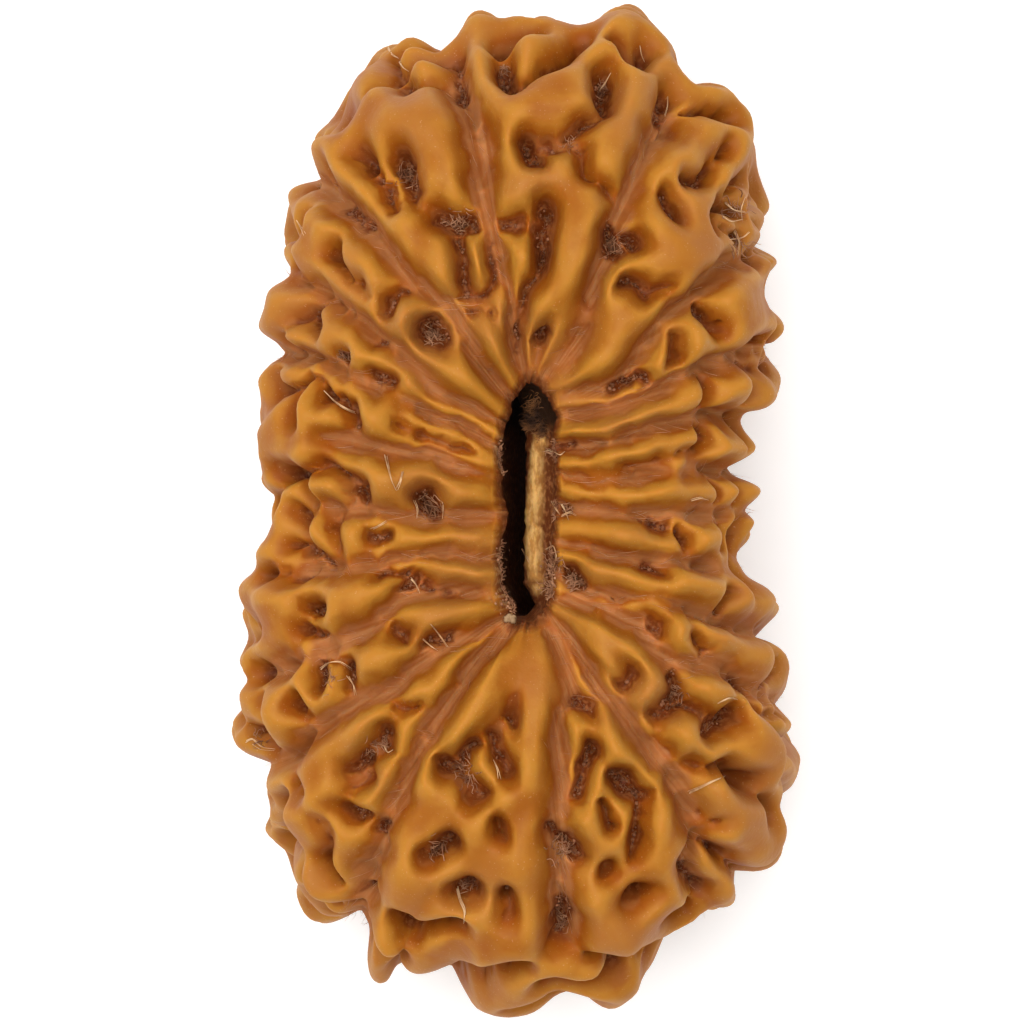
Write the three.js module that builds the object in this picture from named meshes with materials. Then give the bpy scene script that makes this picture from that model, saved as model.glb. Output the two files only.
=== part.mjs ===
// Rudraksha seed: the stone of an Elaeocarpus fruit, cleaned of its pulp.
//
// It is one woody body. Twenty-one seams run like meridians from a slit at one pole, over the
// rim, to the slit at the other pole. Between two seams stands a face, a raised waxy ridge that
// furrows and pits break up into a net. The slits are the two mouths of the natural thread hole.
//
// The part stands on its lower pole, with its thread hole along Z, its length along Y and its
// width along X. Sizes are in millimetres. Places that were read off the photograph of the upper
// side are in its pixels, and inPlan() turns them into millimetres.

import * as THREE from "three";
import { mergeVertices } from "three/addons/utils/BufferGeometryUtils.js";
import { MeshoptSimplifier } from "three/addons/libs/meshopt_simplifier.module.js";

// Driving dimensions
const LENGTH = 34; // along Y, over the outermost knobs
const PHOTO_LENGTH = 1005; // the same length in the photograph
const PHOTO_CENTRE = [515, 510]; // the middle of the outline in the photograph
const MM_PER_PIXEL = LENGTH / PHOTO_LENGTH;
const SPINE = [300, 730]; // where a line down the middle starts and ends in the photograph

const HALF_HEIGHT = 9.0; // from the rim up to the level of the seams
const FULLNESS = 0.68; // below 1, the body is boxier than an ellipsoid
const WAIST_DROP = 0.05; // share of the height that the narrow middle lacks
const WAIST_REACH = 5.0; // along Y, from the middle
const DIMPLE = 1.1; // how far the body dips round each mouth
const DIMPLE_REACH = 2.6;
const FOOT_CUT = 0.45; // how much of the lowest knobs is worn flat

// The relief
const RIDGE = 1.6; // height of the ridges over the seams
const RIM_SHARE = 0.62; // of that height, at the rim
const RIM_REACH = 4.0; // up and down from the rim
const TIP_INSET = 1.08; // from the outline in to the body's own rim, under the ridges
const NOTCH_INSET = 0.15; // the same, at the seams
const FLUTE_REACH = 6.0; // how far up and down from the rim the outline's knobs reach
const FLUTE_FALL = 4; // how suddenly they end there
const SWELL = { wavelength: 5.1, share: 0.14, phase: 1.0 }; // slow rise and fall of the ridges
const LUMPS = { wavelength: 1.9, share: 0.07, phase: 0.5 }; // knobs along the ridges
const LEAN = 2.4; // the ridges lean towards the poles: this stretches their direction along Z
const ROUNDNESS = 0.5; // below 1, a ridge is rounder on top and its furrow sharper
const PIT_FALL = 3.0; // slope of the walls inside a furrow's half-width
const MOUTH_EDGE = 1.0; // a ridge rounds off over this distance before a mouth
const READ_LEVEL = 0.6; // height of the ridges' edges, where the places of furrows were read
const SEAM_RADIUS = [0.04, 0.16]; // half-width of a seam's floor, at the mouth and further out
const SEAM_WIDENS = 3.0; // over this distance from the mouth
const SEAM_BANK = 0.42; // width of a seam's sloping sides
const PIT_BANK = 0.33; // width of the sloping sides of furrows and pits
const BANK_REACH = 4; // a furrow is not felt beyond this many widths of its sides

// Furrows wander instead of running straight: their places are looked up where these move them.
const WANDER = [
  { wavelength: 4.2, reach: 0.2 },
  { wavelength: 1.7, reach: 0.07 },
];
const WANDER_PHASES = { x: 0.3, y: 2.1, z: 4.4 };
const CALM_AT_RIM = 0.9; // share of the wander that is missing at the rim, where the outline is read
const CALM_REACH = 6.0; // up and down from the rim

// An unevenness is a sum of waves, whose directions a spiral spreads over the sphere.
const WAVES = 7;
const WAVE_TURN = 2.39996; // the golden angle, from one wave's direction to the next
const WAVE_SHIFT = 1.7; // keeps the waves out of step
const WAVE_LEVEL = 1 / (1.4 * Math.sqrt(WAVES)); // brings the sum to about -1 to 1

// The thread hole narrows below each mouth.
const HOLE_CENTRE = [528, 503];
const HOLE_NECK_DEPTH = 3.6; // from a mouth down to the narrow part
const HOLE_NECK_WIDTH = 0.36; // share of the mouth's width
const HOLE_NECK_LENGTH = 0.86; // share of the mouth's length
const HOLE_NECK_SHIFT = -0.5; // along X, so the right-hand wall slopes more

// How finely the surface is sampled, and what is kept of it
const COLUMNS = 560; // samples round the body
const ROWS = 240; // samples from mouth to mouth over the rim
const HOLE_ROWS = 14;
const LOOP_SAMPLES = 1000; // for measuring along a loop
const RIM_SAMPLES = 420; // of the body's rim
const RIM_SMOOTHING = 14; // samples to either side that the body's rim is an average over
const SEAM_STEPS = 16; // below the rim
const TRIANGLES = 11800;
const THINNING_ERROR = 0.2; // share of the size; the triangle count is reached first

// Each seam as the photograph shows it, x, y after x, y, from the slit to the rim. They go round
// clockwise from the seam left of the broad upper face.
const SEAMS = [
  [527, 384, 512, 350, 511, 320, 500, 280, 492, 240, 484, 200, 482, 165, 475, 130, 463, 98, 449, 52],
  [
    534, 384, 560, 362, 577, 338, 588, 305, 598, 275, 612, 245, 626, 215, 637, 188, 646, 160, 655, 135,
    674, 86,
  ],
  [548, 398, 588, 388, 625, 370, 645, 345, 663, 322, 690, 296, 715, 270, 751, 236],
  [554, 418, 600, 412, 640, 398, 668, 383, 700, 367, 735, 353, 768, 343],
  [555, 444, 585, 449, 620, 440, 660, 425, 700, 411, 730, 410],
  [555, 474, 600, 478, 650, 474, 700, 471, 726, 471],
  [555, 507, 600, 508, 650, 511, 700, 512, 741, 519],
  [554, 540, 600, 550, 650, 561, 700, 562, 730, 570],
  [552, 572, 580, 590, 620, 600, 680, 612, 720, 626, 761, 644],
  [549, 598, 600, 612, 640, 628, 655, 645, 675, 660, 705, 668, 740, 688, 779, 714],
  [
    541, 613, 566, 638, 582, 662, 600, 688, 622, 706, 640, 735, 658, 762, 678, 792, 694, 825, 690, 865,
    685, 912,
  ],
  [
    532, 621, 552, 646, 567, 672, 573, 700, 562, 722, 557, 750, 553, 790, 556, 835, 562, 870, 562, 905,
    563, 974,
  ],
  [516, 622, 480, 652, 456, 685, 438, 715, 420, 750, 405, 780, 393, 815, 382, 850, 373, 885, 366, 922],
  [506, 612, 470, 638, 440, 654, 412, 668, 398, 684, 375, 697, 350, 712, 325, 726, 303, 748, 273, 775],
  [502, 594, 450, 592, 405, 600, 385, 617, 362, 634, 335, 648, 300, 666, 256, 692],
  [501, 556, 460, 556, 433, 553, 383, 557, 350, 564, 320, 571, 260, 588],
  [500, 518, 460, 520, 420, 515, 400, 512, 340, 508, 289, 517],
  [500, 484, 470, 479, 440, 462, 410, 451, 385, 447, 350, 438, 282, 431],
  [501, 452, 470, 428, 430, 415, 400, 400, 365, 380, 330, 365, 300, 357, 276, 354],
  [505, 424, 470, 405, 440, 395, 420, 376, 400, 352, 375, 330, 350, 309, 330, 292, 296, 273],
  [
    513, 402, 490, 376, 467, 346, 456, 318, 445, 303, 425, 290, 400, 263, 382, 242, 364, 222, 345, 200,
    323, 170,
  ],
];

// The outline between the seams' ends, one list for each face, x, y after x, y.
const OUTLINE = [
  [
    460, 30, 466, 15, 476, 12, 500, 19, 511, 20, 524, 12, 545, 17, 563, 21, 578, 30, 597, 25, 612, 11,
    624, 8, 636, 14, 655, 26, 678, 46, 681, 64,
  ],
  [692, 75, 706, 70, 722, 79, 727, 97, 744, 118, 747, 148, 748, 185, 766, 204, 763, 220],
  [772, 247, 784, 260, 769, 277, 762, 287, 766, 312, 783, 324, 776, 337],
  [786, 360, 779, 383, 757, 396, 739, 402],
  [745, 425, 755, 438, 745, 450, 733, 463],
  [745, 478, 762, 490, 756, 505],
  [751, 535, 747, 551],
  [746, 583, 761, 598, 774, 618, 768, 631],
  [783, 658, 790, 676, 796, 700],
  [
    791, 735, 788, 746, 796, 764, 792, 787, 775, 792, 768, 800, 780, 825, 781, 848, 768, 863, 748, 872,
    738, 874, 740, 892, 728, 913, 702, 923,
  ],
  [675, 933, 657, 946, 646, 970, 625, 997, 600, 1008, 582, 998],
  [
    555, 992, 546, 1008, 512, 1013, 484, 1002, 464, 978, 450, 958, 424, 967, 398, 958, 389, 974,
    375, 981, 361, 965, 364, 942,
  ],
  [
    343, 930, 326, 933, 312, 918, 305, 900, 298, 888, 297, 866, 280, 840, 267, 833, 270, 817, 277, 805,
    261, 791,
  ],
  [258, 757, 242, 744, 233, 722, 243, 705],
  [241, 681, 233, 666, 247, 653, 255, 640, 244, 622, 239, 605],
  [253, 573, 261, 552, 276, 537],
  [269, 500, 261, 489, 263, 465, 259, 449, 269, 437],
  [267, 415, 259, 390, 254, 370],
  [266, 343, 258, 332, 274, 311, 271, 293, 281, 280],
  [288, 258, 281, 243, 298, 228, 296, 206, 292, 185],
  [315, 148, 318, 131, 344, 117, 352, 98, 368, 68, 396, 41, 416, 32, 436, 42],
];

// Furrows and pits of the upper side: the half-width, then the path, x, y after x, y.
const UPPER_FURROWS = [
  // top face
  [10, 509, 66, 511, 84],
  [6, 516, 92, 540, 80, 562, 66, 582, 52],
  [9, 603, 78, 601, 108],
  [5, 612, 50, 636, 70],
  [6, 636, 70, 646, 57],
  [4, 515, 24, 538, 30],
  [9, 524, 148, 533, 160],
  [6, 535, 150, 548, 145],
  [3, 548, 145, 576, 150, 583, 170, 600, 190, 618, 200],
  [4, 558, 140, 578, 126, 598, 118],
  [9, 546, 212, 540, 238, 539, 268],
  [5, 539, 268, 526, 292, 520, 322, 514, 352],
  [6, 543, 333, 541, 341],
  [12, 612, 232, 615, 250],
  [8, 625, 236, 633, 243],
  [6, 503, 228, 522, 226],
  // left of it
  [10, 447, 222, 470, 228],
  [5, 455, 240, 460, 270, 462, 292],
  [5, 488, 245, 490, 270, 478, 298, 462, 300],
  [6, 470, 312, 482, 311],
  [11, 400, 160, 412, 178, 420, 195],
  [3, 385, 182, 400, 200],
  [6, 366, 157, 370, 166],
  [4, 376, 172, 390, 200, 396, 212],
  [3, 398, 214, 412, 204, 428, 208, 446, 219],
  [7, 402, 83, 411, 92],
  [5, 378, 95, 390, 88],
  [4, 393, 76, 391, 62, 398, 56],
  [5, 398, 54, 405, 50],
  [3, 412, 90, 430, 84, 447, 84],
  [7, 455, 55, 463, 88],
  [7, 349, 126, 358, 128],
  [10, 478, 130, 483, 185],
  // upper left
  [7, 336, 203, 350, 215, 362, 225],
  [6, 335, 256, 340, 258],
  [4, 340, 262, 352, 278, 370, 292],
  [8, 388, 300, 389, 312],
  [5, 392, 298, 408, 292],
  [13, 432, 330, 437, 342],
  [3, 303, 226, 300, 248, 303, 266],
  [7, 308, 317, 319, 332],
  [4, 298, 320, 312, 305, 328, 298],
  [5, 340, 352, 344, 356],
  [6, 378, 344, 390, 352],
  [7, 370, 377, 389, 385],
  [4, 283, 396, 300, 388, 318, 382],
  [5, 324, 394, 338, 400, 352, 412],
  [6, 350, 408, 357, 424],
  [3, 308, 385, 303, 402, 308, 422],
  [4, 272, 372, 285, 392],
  [3, 400, 428, 440, 440, 470, 452],
  // left side
  [7, 289, 475, 303, 471],
  [5, 328, 464, 350, 473, 362, 480],
  [7, 352, 484, 360, 492],
  [3, 326, 466, 312, 474, 308, 488, 315, 502, 332, 506, 348, 500, 352, 486],
  [12, 430, 500, 440, 514],
  [6, 370, 530, 384, 532],
  [3, 338, 512, 334, 530, 340, 548],
  [4, 300, 514, 312, 530, 310, 546],
  [5, 297, 548, 314, 553, 326, 562],
  [4, 275, 573, 302, 576],
  [6, 404, 588, 422, 580],
  [5, 384, 573, 410, 573],
  [5, 430, 590, 452, 597],
  [6, 310, 606, 323, 604],
  [4, 268, 632, 275, 629],
  [6, 306, 630, 322, 638],
  [6, 397, 633, 406, 638],
  [7, 428, 646, 450, 640],
  // lower left
  [8, 320, 666, 322, 688],
  [6, 350, 668, 354, 692],
  [3, 322, 662, 336, 658, 350, 664],
  [7, 297, 699, 305, 712],
  [4, 249, 728, 263, 730],
  [3, 266, 698, 268, 722, 262, 742],
  [8, 352, 767, 368, 758, 385, 746, 389, 730],
  [4, 300, 780, 318, 794, 330, 812],
  [6, 348, 806, 363, 812],
  [10, 378, 829, 389, 825],
  [3, 332, 815, 337, 840, 333, 862],
  [5, 333, 862, 340, 882],
  [3, 272, 842, 292, 836, 310, 838],
  [6, 354, 898, 368, 893],
  [4, 400, 704, 418, 708],
  [4, 280, 822, 292, 842],
  [3, 372, 772, 350, 786, 338, 800],
  // broad lower face
  [5, 513, 717, 517, 720],
  [9, 445, 766, 460, 769, 468, 785, 478, 793],
  [6, 462, 760, 470, 748, 480, 745],
  [7, 495, 735, 499, 752, 506, 770],
  [7, 430, 854, 452, 840],
  [8, 455, 886, 471, 881],
  [4, 499, 822, 501, 829],
  [7, 505, 892, 508, 907],
  [8, 402, 918, 416, 925],
  [5, 420, 924, 440, 920, 456, 911],
  [4, 400, 958, 430, 955, 455, 948, 480, 962, 500, 965],
  [5, 500, 962, 520, 956],
  [4, 479, 972, 489, 972],
  // right of it
  [8, 578, 703, 593, 709],
  [9, 578, 783, 582, 765, 591, 747],
  [9, 617, 774, 632, 788, 643, 801],
  [6, 643, 801, 640, 826, 632, 851],
  [5, 600, 797, 607, 810, 613, 825],
  [5, 597, 873, 607, 864],
  [7, 623, 892, 636, 888],
  [9, 549, 820, 560, 838, 576, 858],
  [10, 562, 907, 562, 936],
  [3, 590, 951, 620, 949, 642, 944],
  [4, 612, 955, 621, 956],
  // lower right
  [8, 624, 681, 635, 672],
  [8, 677, 673, 681, 690, 669, 700],
  [7, 655, 713, 668, 706, 690, 706, 702, 722],
  [3, 655, 713, 657, 735, 668, 757, 684, 764],
  [9, 709, 729, 725, 725, 734, 714],
  [3, 684, 764, 704, 766, 722, 762],
  [9, 726, 773, 743, 781],
  [6, 707, 812, 716, 817],
  [8, 685, 858, 694, 878, 706, 893],
  [5, 652, 624, 660, 630],
  [4, 688, 641, 706, 649],
  [5, 771, 682, 776, 668],
  [3, 756, 704, 767, 718, 770, 740, 771, 765, 767, 790],
  [3, 770, 714, 788, 714],
  [4, 772, 744, 788, 746],
  [4, 740, 680, 760, 690],
  [4, 704, 830, 716, 850, 730, 866, 742, 874],
  [5, 752, 799, 761, 812],
  // right side
  [6, 560, 452, 576, 450],
  [3, 600, 466, 650, 465, 690, 452, 706, 444],
  [5, 698, 430, 707, 437],
  [6, 652, 520, 668, 525],
  [6, 681, 530, 693, 538],
  [6, 641, 562, 652, 571],
  [9, 566, 573, 577, 582],
  [6, 562, 503, 566, 509],
  [4, 712, 484, 722, 498],
  [3, 734, 484, 736, 500],
  [3, 702, 378, 708, 392, 704, 408],
  [4, 722, 526, 724, 542],
  [4, 727, 590, 724, 606],
  // upper right
  [8, 703, 311, 713, 331],
  [7, 673, 343, 672, 363],
  [7, 606, 388, 620, 384, 640, 381],
  [9, 654, 141, 667, 130, 676, 122],
  [6, 667, 98, 665, 118],
  [6, 688, 187, 706, 180],
  [4, 706, 180, 711, 160, 720, 146],
  [5, 671, 202, 679, 218],
  [6, 720, 206, 736, 214],
  [5, 716, 206, 712, 226],
  [5, 728, 231, 741, 242],
  [4, 735, 178, 728, 192],
  [5, 628, 286, 645, 298, 663, 292],
  [5, 675, 84, 700, 88],
  [4, 690, 112, 722, 122],
  [5, 742, 195, 749, 216],
  [4, 752, 285, 760, 300, 766, 318],
  [4, 740, 362, 755, 372, 772, 375],
  [3, 746, 368, 750, 380, 746, 394],
  [4, 742, 346, 762, 338],
];

// The sides and the lower half, which no photograph shows, carry pits in rows along each face.
const SEED = 5;
const DRAW_STEP = 12.9898;
const DRAW_SCALE = 43758.5453;
const FIRST_PIT = 4.4; // above the rim
const LAST_PIT = 1.2; // before the lower mouth
const ROW_STEP = 1.65; // from row to row along a face
const ROW_DRIFT = 0.7; // the most by which two pits of a row differ along the face
const PIT_STEP = 1.95; // from pit to pit across a broad face
const PIT_CLEARANCE = 0.75; // a pit this near to a furrow from the photograph is left out
const PIT_RADIUS = [0.12, 0.38];
const STAGGER = 0.25; // how far rows lie to either side in turn, in steps
const LOOSENESS = 0.3; // the most by which a step is longer or shorter, in steps
const OPEN_SHARE = 0.6; // share of the pits that open into a seam or into the next pit
const OPENING_RADIUS = 0.05; // half-width of such an opening
const OPEN_FALL = [-0.15, 0.35]; // how far the opening runs down the face
const CLOSED_FALL = [0, 0.7]; // how far a lone pit is drawn out down the face
const CLOSED_DRIFT = 0.06; // the most that a lone pit slants, in faces
const MERIDIAN_SAMPLES = 200;

const WOOD = new THREE.MeshStandardMaterial({
  color: 0xb9722b,
  roughness: 0.5,
  metalness: 0,
});

const FACES = SEAMS.length;
const { clamp, lerp, smoothstep } = THREE.MathUtils;

// Photograph pixels as a place in plan.
function inPlan(x, y) {
  return new THREE.Vector3(
    (x - PHOTO_CENTRE[0]) * MM_PER_PIXEL,
    (PHOTO_CENTRE[1] - y) * MM_PER_PIXEL,
    0,
  );
}

// A point of the outline, brought in to the body's own rim.
const MIDDLE = new THREE.Line3(
  inPlan(PHOTO_CENTRE[0], SPINE[0]),
  inPlan(PHOTO_CENTRE[0], SPINE[1]),
);
function rimPoint(x, y, inset) {
  const point = inPlan(x, y);
  const inwards = MIDDLE.closestPointToPoint(point, true, new THREE.Vector3()).sub(point);
  return point.addScaledVector(inwards.normalize(), inset);
}

function loopThrough(points) {
  const loop = new THREE.CatmullRomCurve3(points, true, "catmullrom", 0.5);
  loop.arcLengthDivisions = LOOP_SAMPLES;
  return loop;
}

// The mouth and the knobbly rim are closed loops. Each has a point for every seam and, between two
// seams, one for each point of the outline. starts counts the points before each seam.
function mouthAndRim() {
  const mouth = [];
  const rim = [];
  const starts = [];
  SEAMS.forEach((path, face) => {
    const next = SEAMS[(face + 1) % FACES];
    const outline = OUTLINE[face];
    const between = outline.length / 2;
    starts.push(rim.length);
    rim.push(rimPoint(path.at(-2), path.at(-1), NOTCH_INSET));
    for (let k = 0; k < between; k++) {
      rim.push(rimPoint(outline[2 * k], outline[2 * k + 1], TIP_INSET));
    }
    for (let k = 0; k <= between; k++) {
      const start = inPlan(path[0], path[1]);
      mouth.push(start.lerp(inPlan(next[0], next[1]), k / (between + 1)));
    }
  });
  return [loopThrough(mouth), loopThrough(rim), [...starts, rim.length]];
}

// Each point becomes the average of its neighbourhood.
function smoothed(points) {
  return points.map((_, n) => {
    const sum = new THREE.Vector3();
    for (let k = -RIM_SMOOTHING; k <= RIM_SMOOTHING; k++) {
      sum.add(points[(n + k + points.length) % points.length]);
    }
    return sum.divideScalar(2 * RIM_SMOOTHING + 1);
  });
}

const [MOUTH, KNOBBLY_RIM, STARTS] = mouthAndRim();
const RIM = loopThrough(smoothed(KNOBBLY_RIM.getSpacedPoints(RIM_SAMPLES).slice(0, -1)));

// Places round the body are shares of the knobbly rim's length, from seam 0.
const SEAM_PLACES = STARTS.map((start) => {
  const lengths = KNOBBLY_RIM.getLengths();
  return lengths[Math.round((start / STARTS[FACES]) * LOOP_SAMPLES)] / lengths.at(-1);
});

// The place a share of the way across a face from its first seam.
function acrossFace(face, share) {
  return lerp(SEAM_PLACES[face], SEAM_PLACES[face + 1], share);
}

// The body's own surface, at the level of the seams. place goes once round, from 0 to 1, and angle
// from 0 at the upper mouth, over the rim at a quarter turn, to the lower mouth at a half turn.
function bodyPoint(place, angle) {
  const mouth = MOUTH.getPoint(KNOBBLY_RIM.getUtoTmapping(place));
  const rim = RIM.getPoint(place);
  const share = Math.max(Math.sin(angle), 0) ** FULLNESS;
  const away = mouth.distanceTo(rim) * share;
  const point = mouth.lerp(rim, share);
  const waist = 1 - WAIST_DROP * Math.exp(-((point.y / WAIST_REACH) ** 2));
  const dimple = DIMPLE * Math.exp(-((away / DIMPLE_REACH) ** 2));
  const rise = Math.abs(Math.cos(angle)) ** FULLNESS * HALF_HEIGHT * waist - dimple;
  point.z = Math.sign(Math.cos(angle)) * rise;
  return point;
}

// What the knobs of the outline add to the body at a place and a height.
function flute(place, z) {
  const knobbly = KNOBBLY_RIM.getPointAt(place);
  return knobbly.sub(RIM.getPoint(place)).multiplyScalar(Math.exp(-((z / FLUTE_REACH) ** FLUTE_FALL)));
}

// Fixed draws between 0 and 1, one after another, that start from a number.
function drawsFrom(number) {
  let next = SEED + number;
  return () => {
    next += DRAW_STEP;
    const x = Math.sin(next) * DRAW_SCALE;
    return x - Math.floor(x);
  };
}

// A smooth unevenness in space, about -1 to 1.
function unevenness(p, { wavelength, phase }) {
  let sum = 0;
  for (let k = 0; k < WAVES; k++) {
    const z = 1 - (2 * k + 1) / WAVES;
    const flat = Math.sqrt(1 - z * z);
    const turn = k * WAVE_TURN;
    const along = p.x * flat * Math.cos(turn) + p.y * flat * Math.sin(turn) + p.z * z;
    sum += Math.sin((2 * Math.PI * along) / wavelength + phase + WAVE_SHIFT * k * k);
  }
  return sum * WAVE_LEVEL;
}

// The place where furrows are looked up for a point.
function wandered(p) {
  const moved = p.clone();
  const free = 1 - CALM_AT_RIM * Math.exp(-((p.z / CALM_REACH) ** 2));
  for (const { wavelength, reach } of WANDER) {
    for (const [axis, phase] of Object.entries(WANDER_PHASES)) {
      moved[axis] += reach * free * unevenness(p, { wavelength, phase });
    }
  }
  return moved;
}

// Joins two rings of columns with triangles that face outwards.
function joinRings(index, upper, lower) {
  for (let column = 0; column < COLUMNS; column++) {
    const next = (column + 1) % COLUMNS;
    index.push(upper + column, upper + next, lower + column);
    index.push(upper + next, lower + next, lower + column);
  }
}

function geometryOf(points, index) {
  const geometry = new THREE.BufferGeometry().setFromPoints(points);
  geometry.setIndex(index);
  return geometry;
}

// The body as a grid, a ring of evenly spaced columns for each row. With each point go its flute
// and the direction in which the relief rises from it.
function bodyGrid() {
  const points = [];
  for (let row = 0; row <= ROWS; row++) {
    for (let column = 0; column < COLUMNS; column++) {
      points.push(bodyPoint(column / COLUMNS, (Math.PI * row) / ROWS));
    }
  }
  const flutes = points.map((p, n) => flute((n % COLUMNS) / COLUMNS, p.z));
  const index = [];
  for (let row = 0; row < ROWS; row++) joinRings(index, row * COLUMNS, (row + 1) * COLUMNS);
  const body = geometryOf(points, index);
  body.computeVertexNormals();
  const rises = points.map((_, n) => {
    const rise = new THREE.Vector3().fromBufferAttribute(body.attributes.normal, n);
    rise.z *= LEAN;
    return rise.normalize();
  });
  return { points, flutes, rises };
}

// The body's point that shows at a place in the photograph, when what shows there stands at a
// level over the body.
function shownAt({ points, flutes, rises }, x, y, level) {
  const place = inPlan(x, y);
  let best = 0;
  let least = Infinity;
  for (let n = 0; n < (ROWS / 2 + 1) * COLUMNS; n++) {
    const dx = points[n].x + flutes[n].x + rises[n].x * level - place.x;
    const dy = points[n].y + flutes[n].y + rises[n].y * level - place.y;
    const gap = dx * dx + dy * dy;
    if (gap < least) {
      least = gap;
      best = n;
    }
  }
  return points[best];
}

function pathPoints(grid, path, level) {
  const points = [];
  for (let k = 0; k + 1 < path.length; k += 2) {
    points.push(shownAt(grid, path[k], path[k + 1], level));
  }
  return points;
}

// A furrow: a path, the half-width of its floor at each point, and the width of its sides.
function furrow(points, radii, bank) {
  const reach = new THREE.Box3().setFromPoints(points).expandByScalar(BANK_REACH * bank);
  return { points, radii, bank, reach };
}

// Each seam follows the photograph to the rim, and from there a meridian to the lower mouth.
function seamFurrows(grid) {
  return SEAMS.map((path, i) => {
    const points = pathPoints(grid, path.slice(0, -2), 0);
    for (let k = 0; k <= SEAM_STEPS; k++) {
      points.push(bodyPoint(acrossFace(i, 0), (Math.PI / 2) * (1 + k / SEAM_STEPS)));
    }
    const radii = points.map((p) => {
      const away = Math.hypot(p.x - points[0].x, p.y - points[0].y);
      return lerp(...SEAM_RADIUS, clamp(away / SEAM_WIDENS, 0, 1));
    });
    return furrow(points, radii, SEAM_BANK);
  });
}

function upperFurrows(grid) {
  return UPPER_FURROWS.map(([halfWidth, ...path]) => {
    const points = pathPoints(grid, path, READ_LEVEL);
    return furrow(points, points.map(() => halfWidth * MM_PER_PIXEL), PIT_BANK);
  });
}

// The rows of pits along a face: the angle of each row, and how many millimetres a radian is there.
function pitRows(face) {
  const middle = acrossFace(face, 0.5);
  const rows = [];
  let travelled = 0;
  let before = bodyPoint(middle, 0);
  const samples = [];
  for (let k = 1; k <= MERIDIAN_SAMPLES; k++) {
    const angle = (Math.PI * k) / MERIDIAN_SAMPLES;
    const point = bodyPoint(middle, angle);
    const step = point.distanceTo(before);
    travelled += step;
    samples.push({ angle, travelled, perRadian: (step * MERIDIAN_SAMPLES) / Math.PI });
    before = point;
  }
  let next = samples[MERIDIAN_SAMPLES / 2 - 1].travelled - FIRST_PIT;
  for (const sample of samples) {
    if (sample.travelled < next || next > travelled - LAST_PIT) continue;
    rows.push(sample);
    next += ROW_STEP;
  }
  return rows;
}

// A pit stands alone, or opens into the nearer seam or the pit beside it.
function sidePit(face, row, across, beside, draw) {
  const open = draw() < OPEN_SHARE;
  const radius = lerp(...PIT_RADIUS, draw());
  const turn = row.angle + (ROW_DRIFT * (draw() - 0.5)) / row.perRadian;
  const drift = open ? 0 : CLOSED_DRIFT * (2 * draw() - 1);
  const fall = lerp(...(open ? OPEN_FALL : CLOSED_FALL), draw());
  const start = open ? beside : across - drift;
  const points = [0, 0.5, 1].map((share) =>
    bodyPoint(
      acrossFace(face, lerp(start, across + drift, share)),
      turn + (fall * share) / row.perRadian,
    ),
  );
  return furrow(points, open ? [OPENING_RADIUS, radius / 2, radius] : [radius, radius, radius], PIT_BANK);
}

// The pits across one row of a face. The rows lie to either side in turn.
function rowOfPits(face, row, k) {
  const left = bodyPoint(acrossFace(face, 0), row.angle);
  const width = left.distanceTo(bodyPoint(acrossFace(face, 1), row.angle));
  const count = Math.max(1, Math.round(width / PIT_STEP));
  const stagger = k % 2 ? STAGGER : -STAGGER;
  const draw = drawsFrom(face * FACES + k);
  const pits = [];
  for (let j = 0; j < count; j++) {
    const across = (j + 0.5 + stagger + LOOSENESS * (draw() - 0.5)) / count;
    const inner = j > 0 && j < count - 1;
    const beside = inner ? across + Math.sign(stagger) / (2 * count) : Math.round(across);
    pits.push(sidePit(face, row, across, beside, draw));
  }
  return pits;
}

// The pits of the sides and the lower half, without those that the photograph's furrows crowd out.
function sidePits(upper) {
  const pits = [];
  for (let face = 0; face < FACES; face++) {
    pitRows(face).forEach((row, k) => pits.push(...rowOfPits(face, row, k)));
  }
  return pits.filter(({ points }) =>
    upper.every((one) => edgeDistance(points[1], one) > PIT_CLEARANCE),
  );
}

// Distance from a point to the edge of a furrow's floor; below 0 over the floor.
const leg = new THREE.Vector3();
const arm = new THREE.Vector3();
function edgeDistance(p, { points, radii }) {
  let least = Infinity;
  for (let k = 0; k + 1 < points.length; k++) {
    leg.subVectors(points[k + 1], points[k]);
    arm.subVectors(p, points[k]);
    const share = clamp(arm.dot(leg) / Math.max(leg.lengthSq(), Number.EPSILON), 0, 1);
    const gap = arm.addScaledVector(leg, -share).length();
    least = Math.min(least, gap - lerp(radii[k], radii[k + 1], share));
  }
  return least;
}

// How far the skin stands over the body at a point: the ridges' height, cut down by every furrow.
function relief(p, furrows) {
  const place = wandered(p);
  let left = 1;
  let inside = 0;
  for (const one of furrows) {
    if (!one.reach.containsPoint(place)) continue;
    const distance = edgeDistance(place, one);
    left *= 1 - Math.exp(-((Math.max(distance, 0) / one.bank) ** 2));
    inside = Math.min(inside, distance);
  }
  const swell = 1 + SWELL.share * unevenness(p, SWELL) + LUMPS.share * unevenness(p, LUMPS);
  const rim = 1 - (1 - RIM_SHARE) * Math.exp(-((p.z / RIM_REACH) ** 2));
  return RIDGE * rim * swell * left ** ROUNDNESS + PIT_FALL * inside;
}

// The skin: the body's grid, raised by the relief.
function skinPoints({ points, flutes, rises }, furrows) {
  return points.map((p, n) => {
    const column = n % COLUMNS;
    const mouth = points[n < (ROWS / 2) * COLUMNS ? column : ROWS * COLUMNS + column];
    const edge = 1 - clamp(p.distanceTo(mouth) / MOUTH_EDGE, 0, 1);
    const height = relief(p, furrows) * Math.sqrt(1 - edge * edge);
    return p.clone().add(flutes[n]).addScaledVector(rises[n], height);
  });
}

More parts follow.
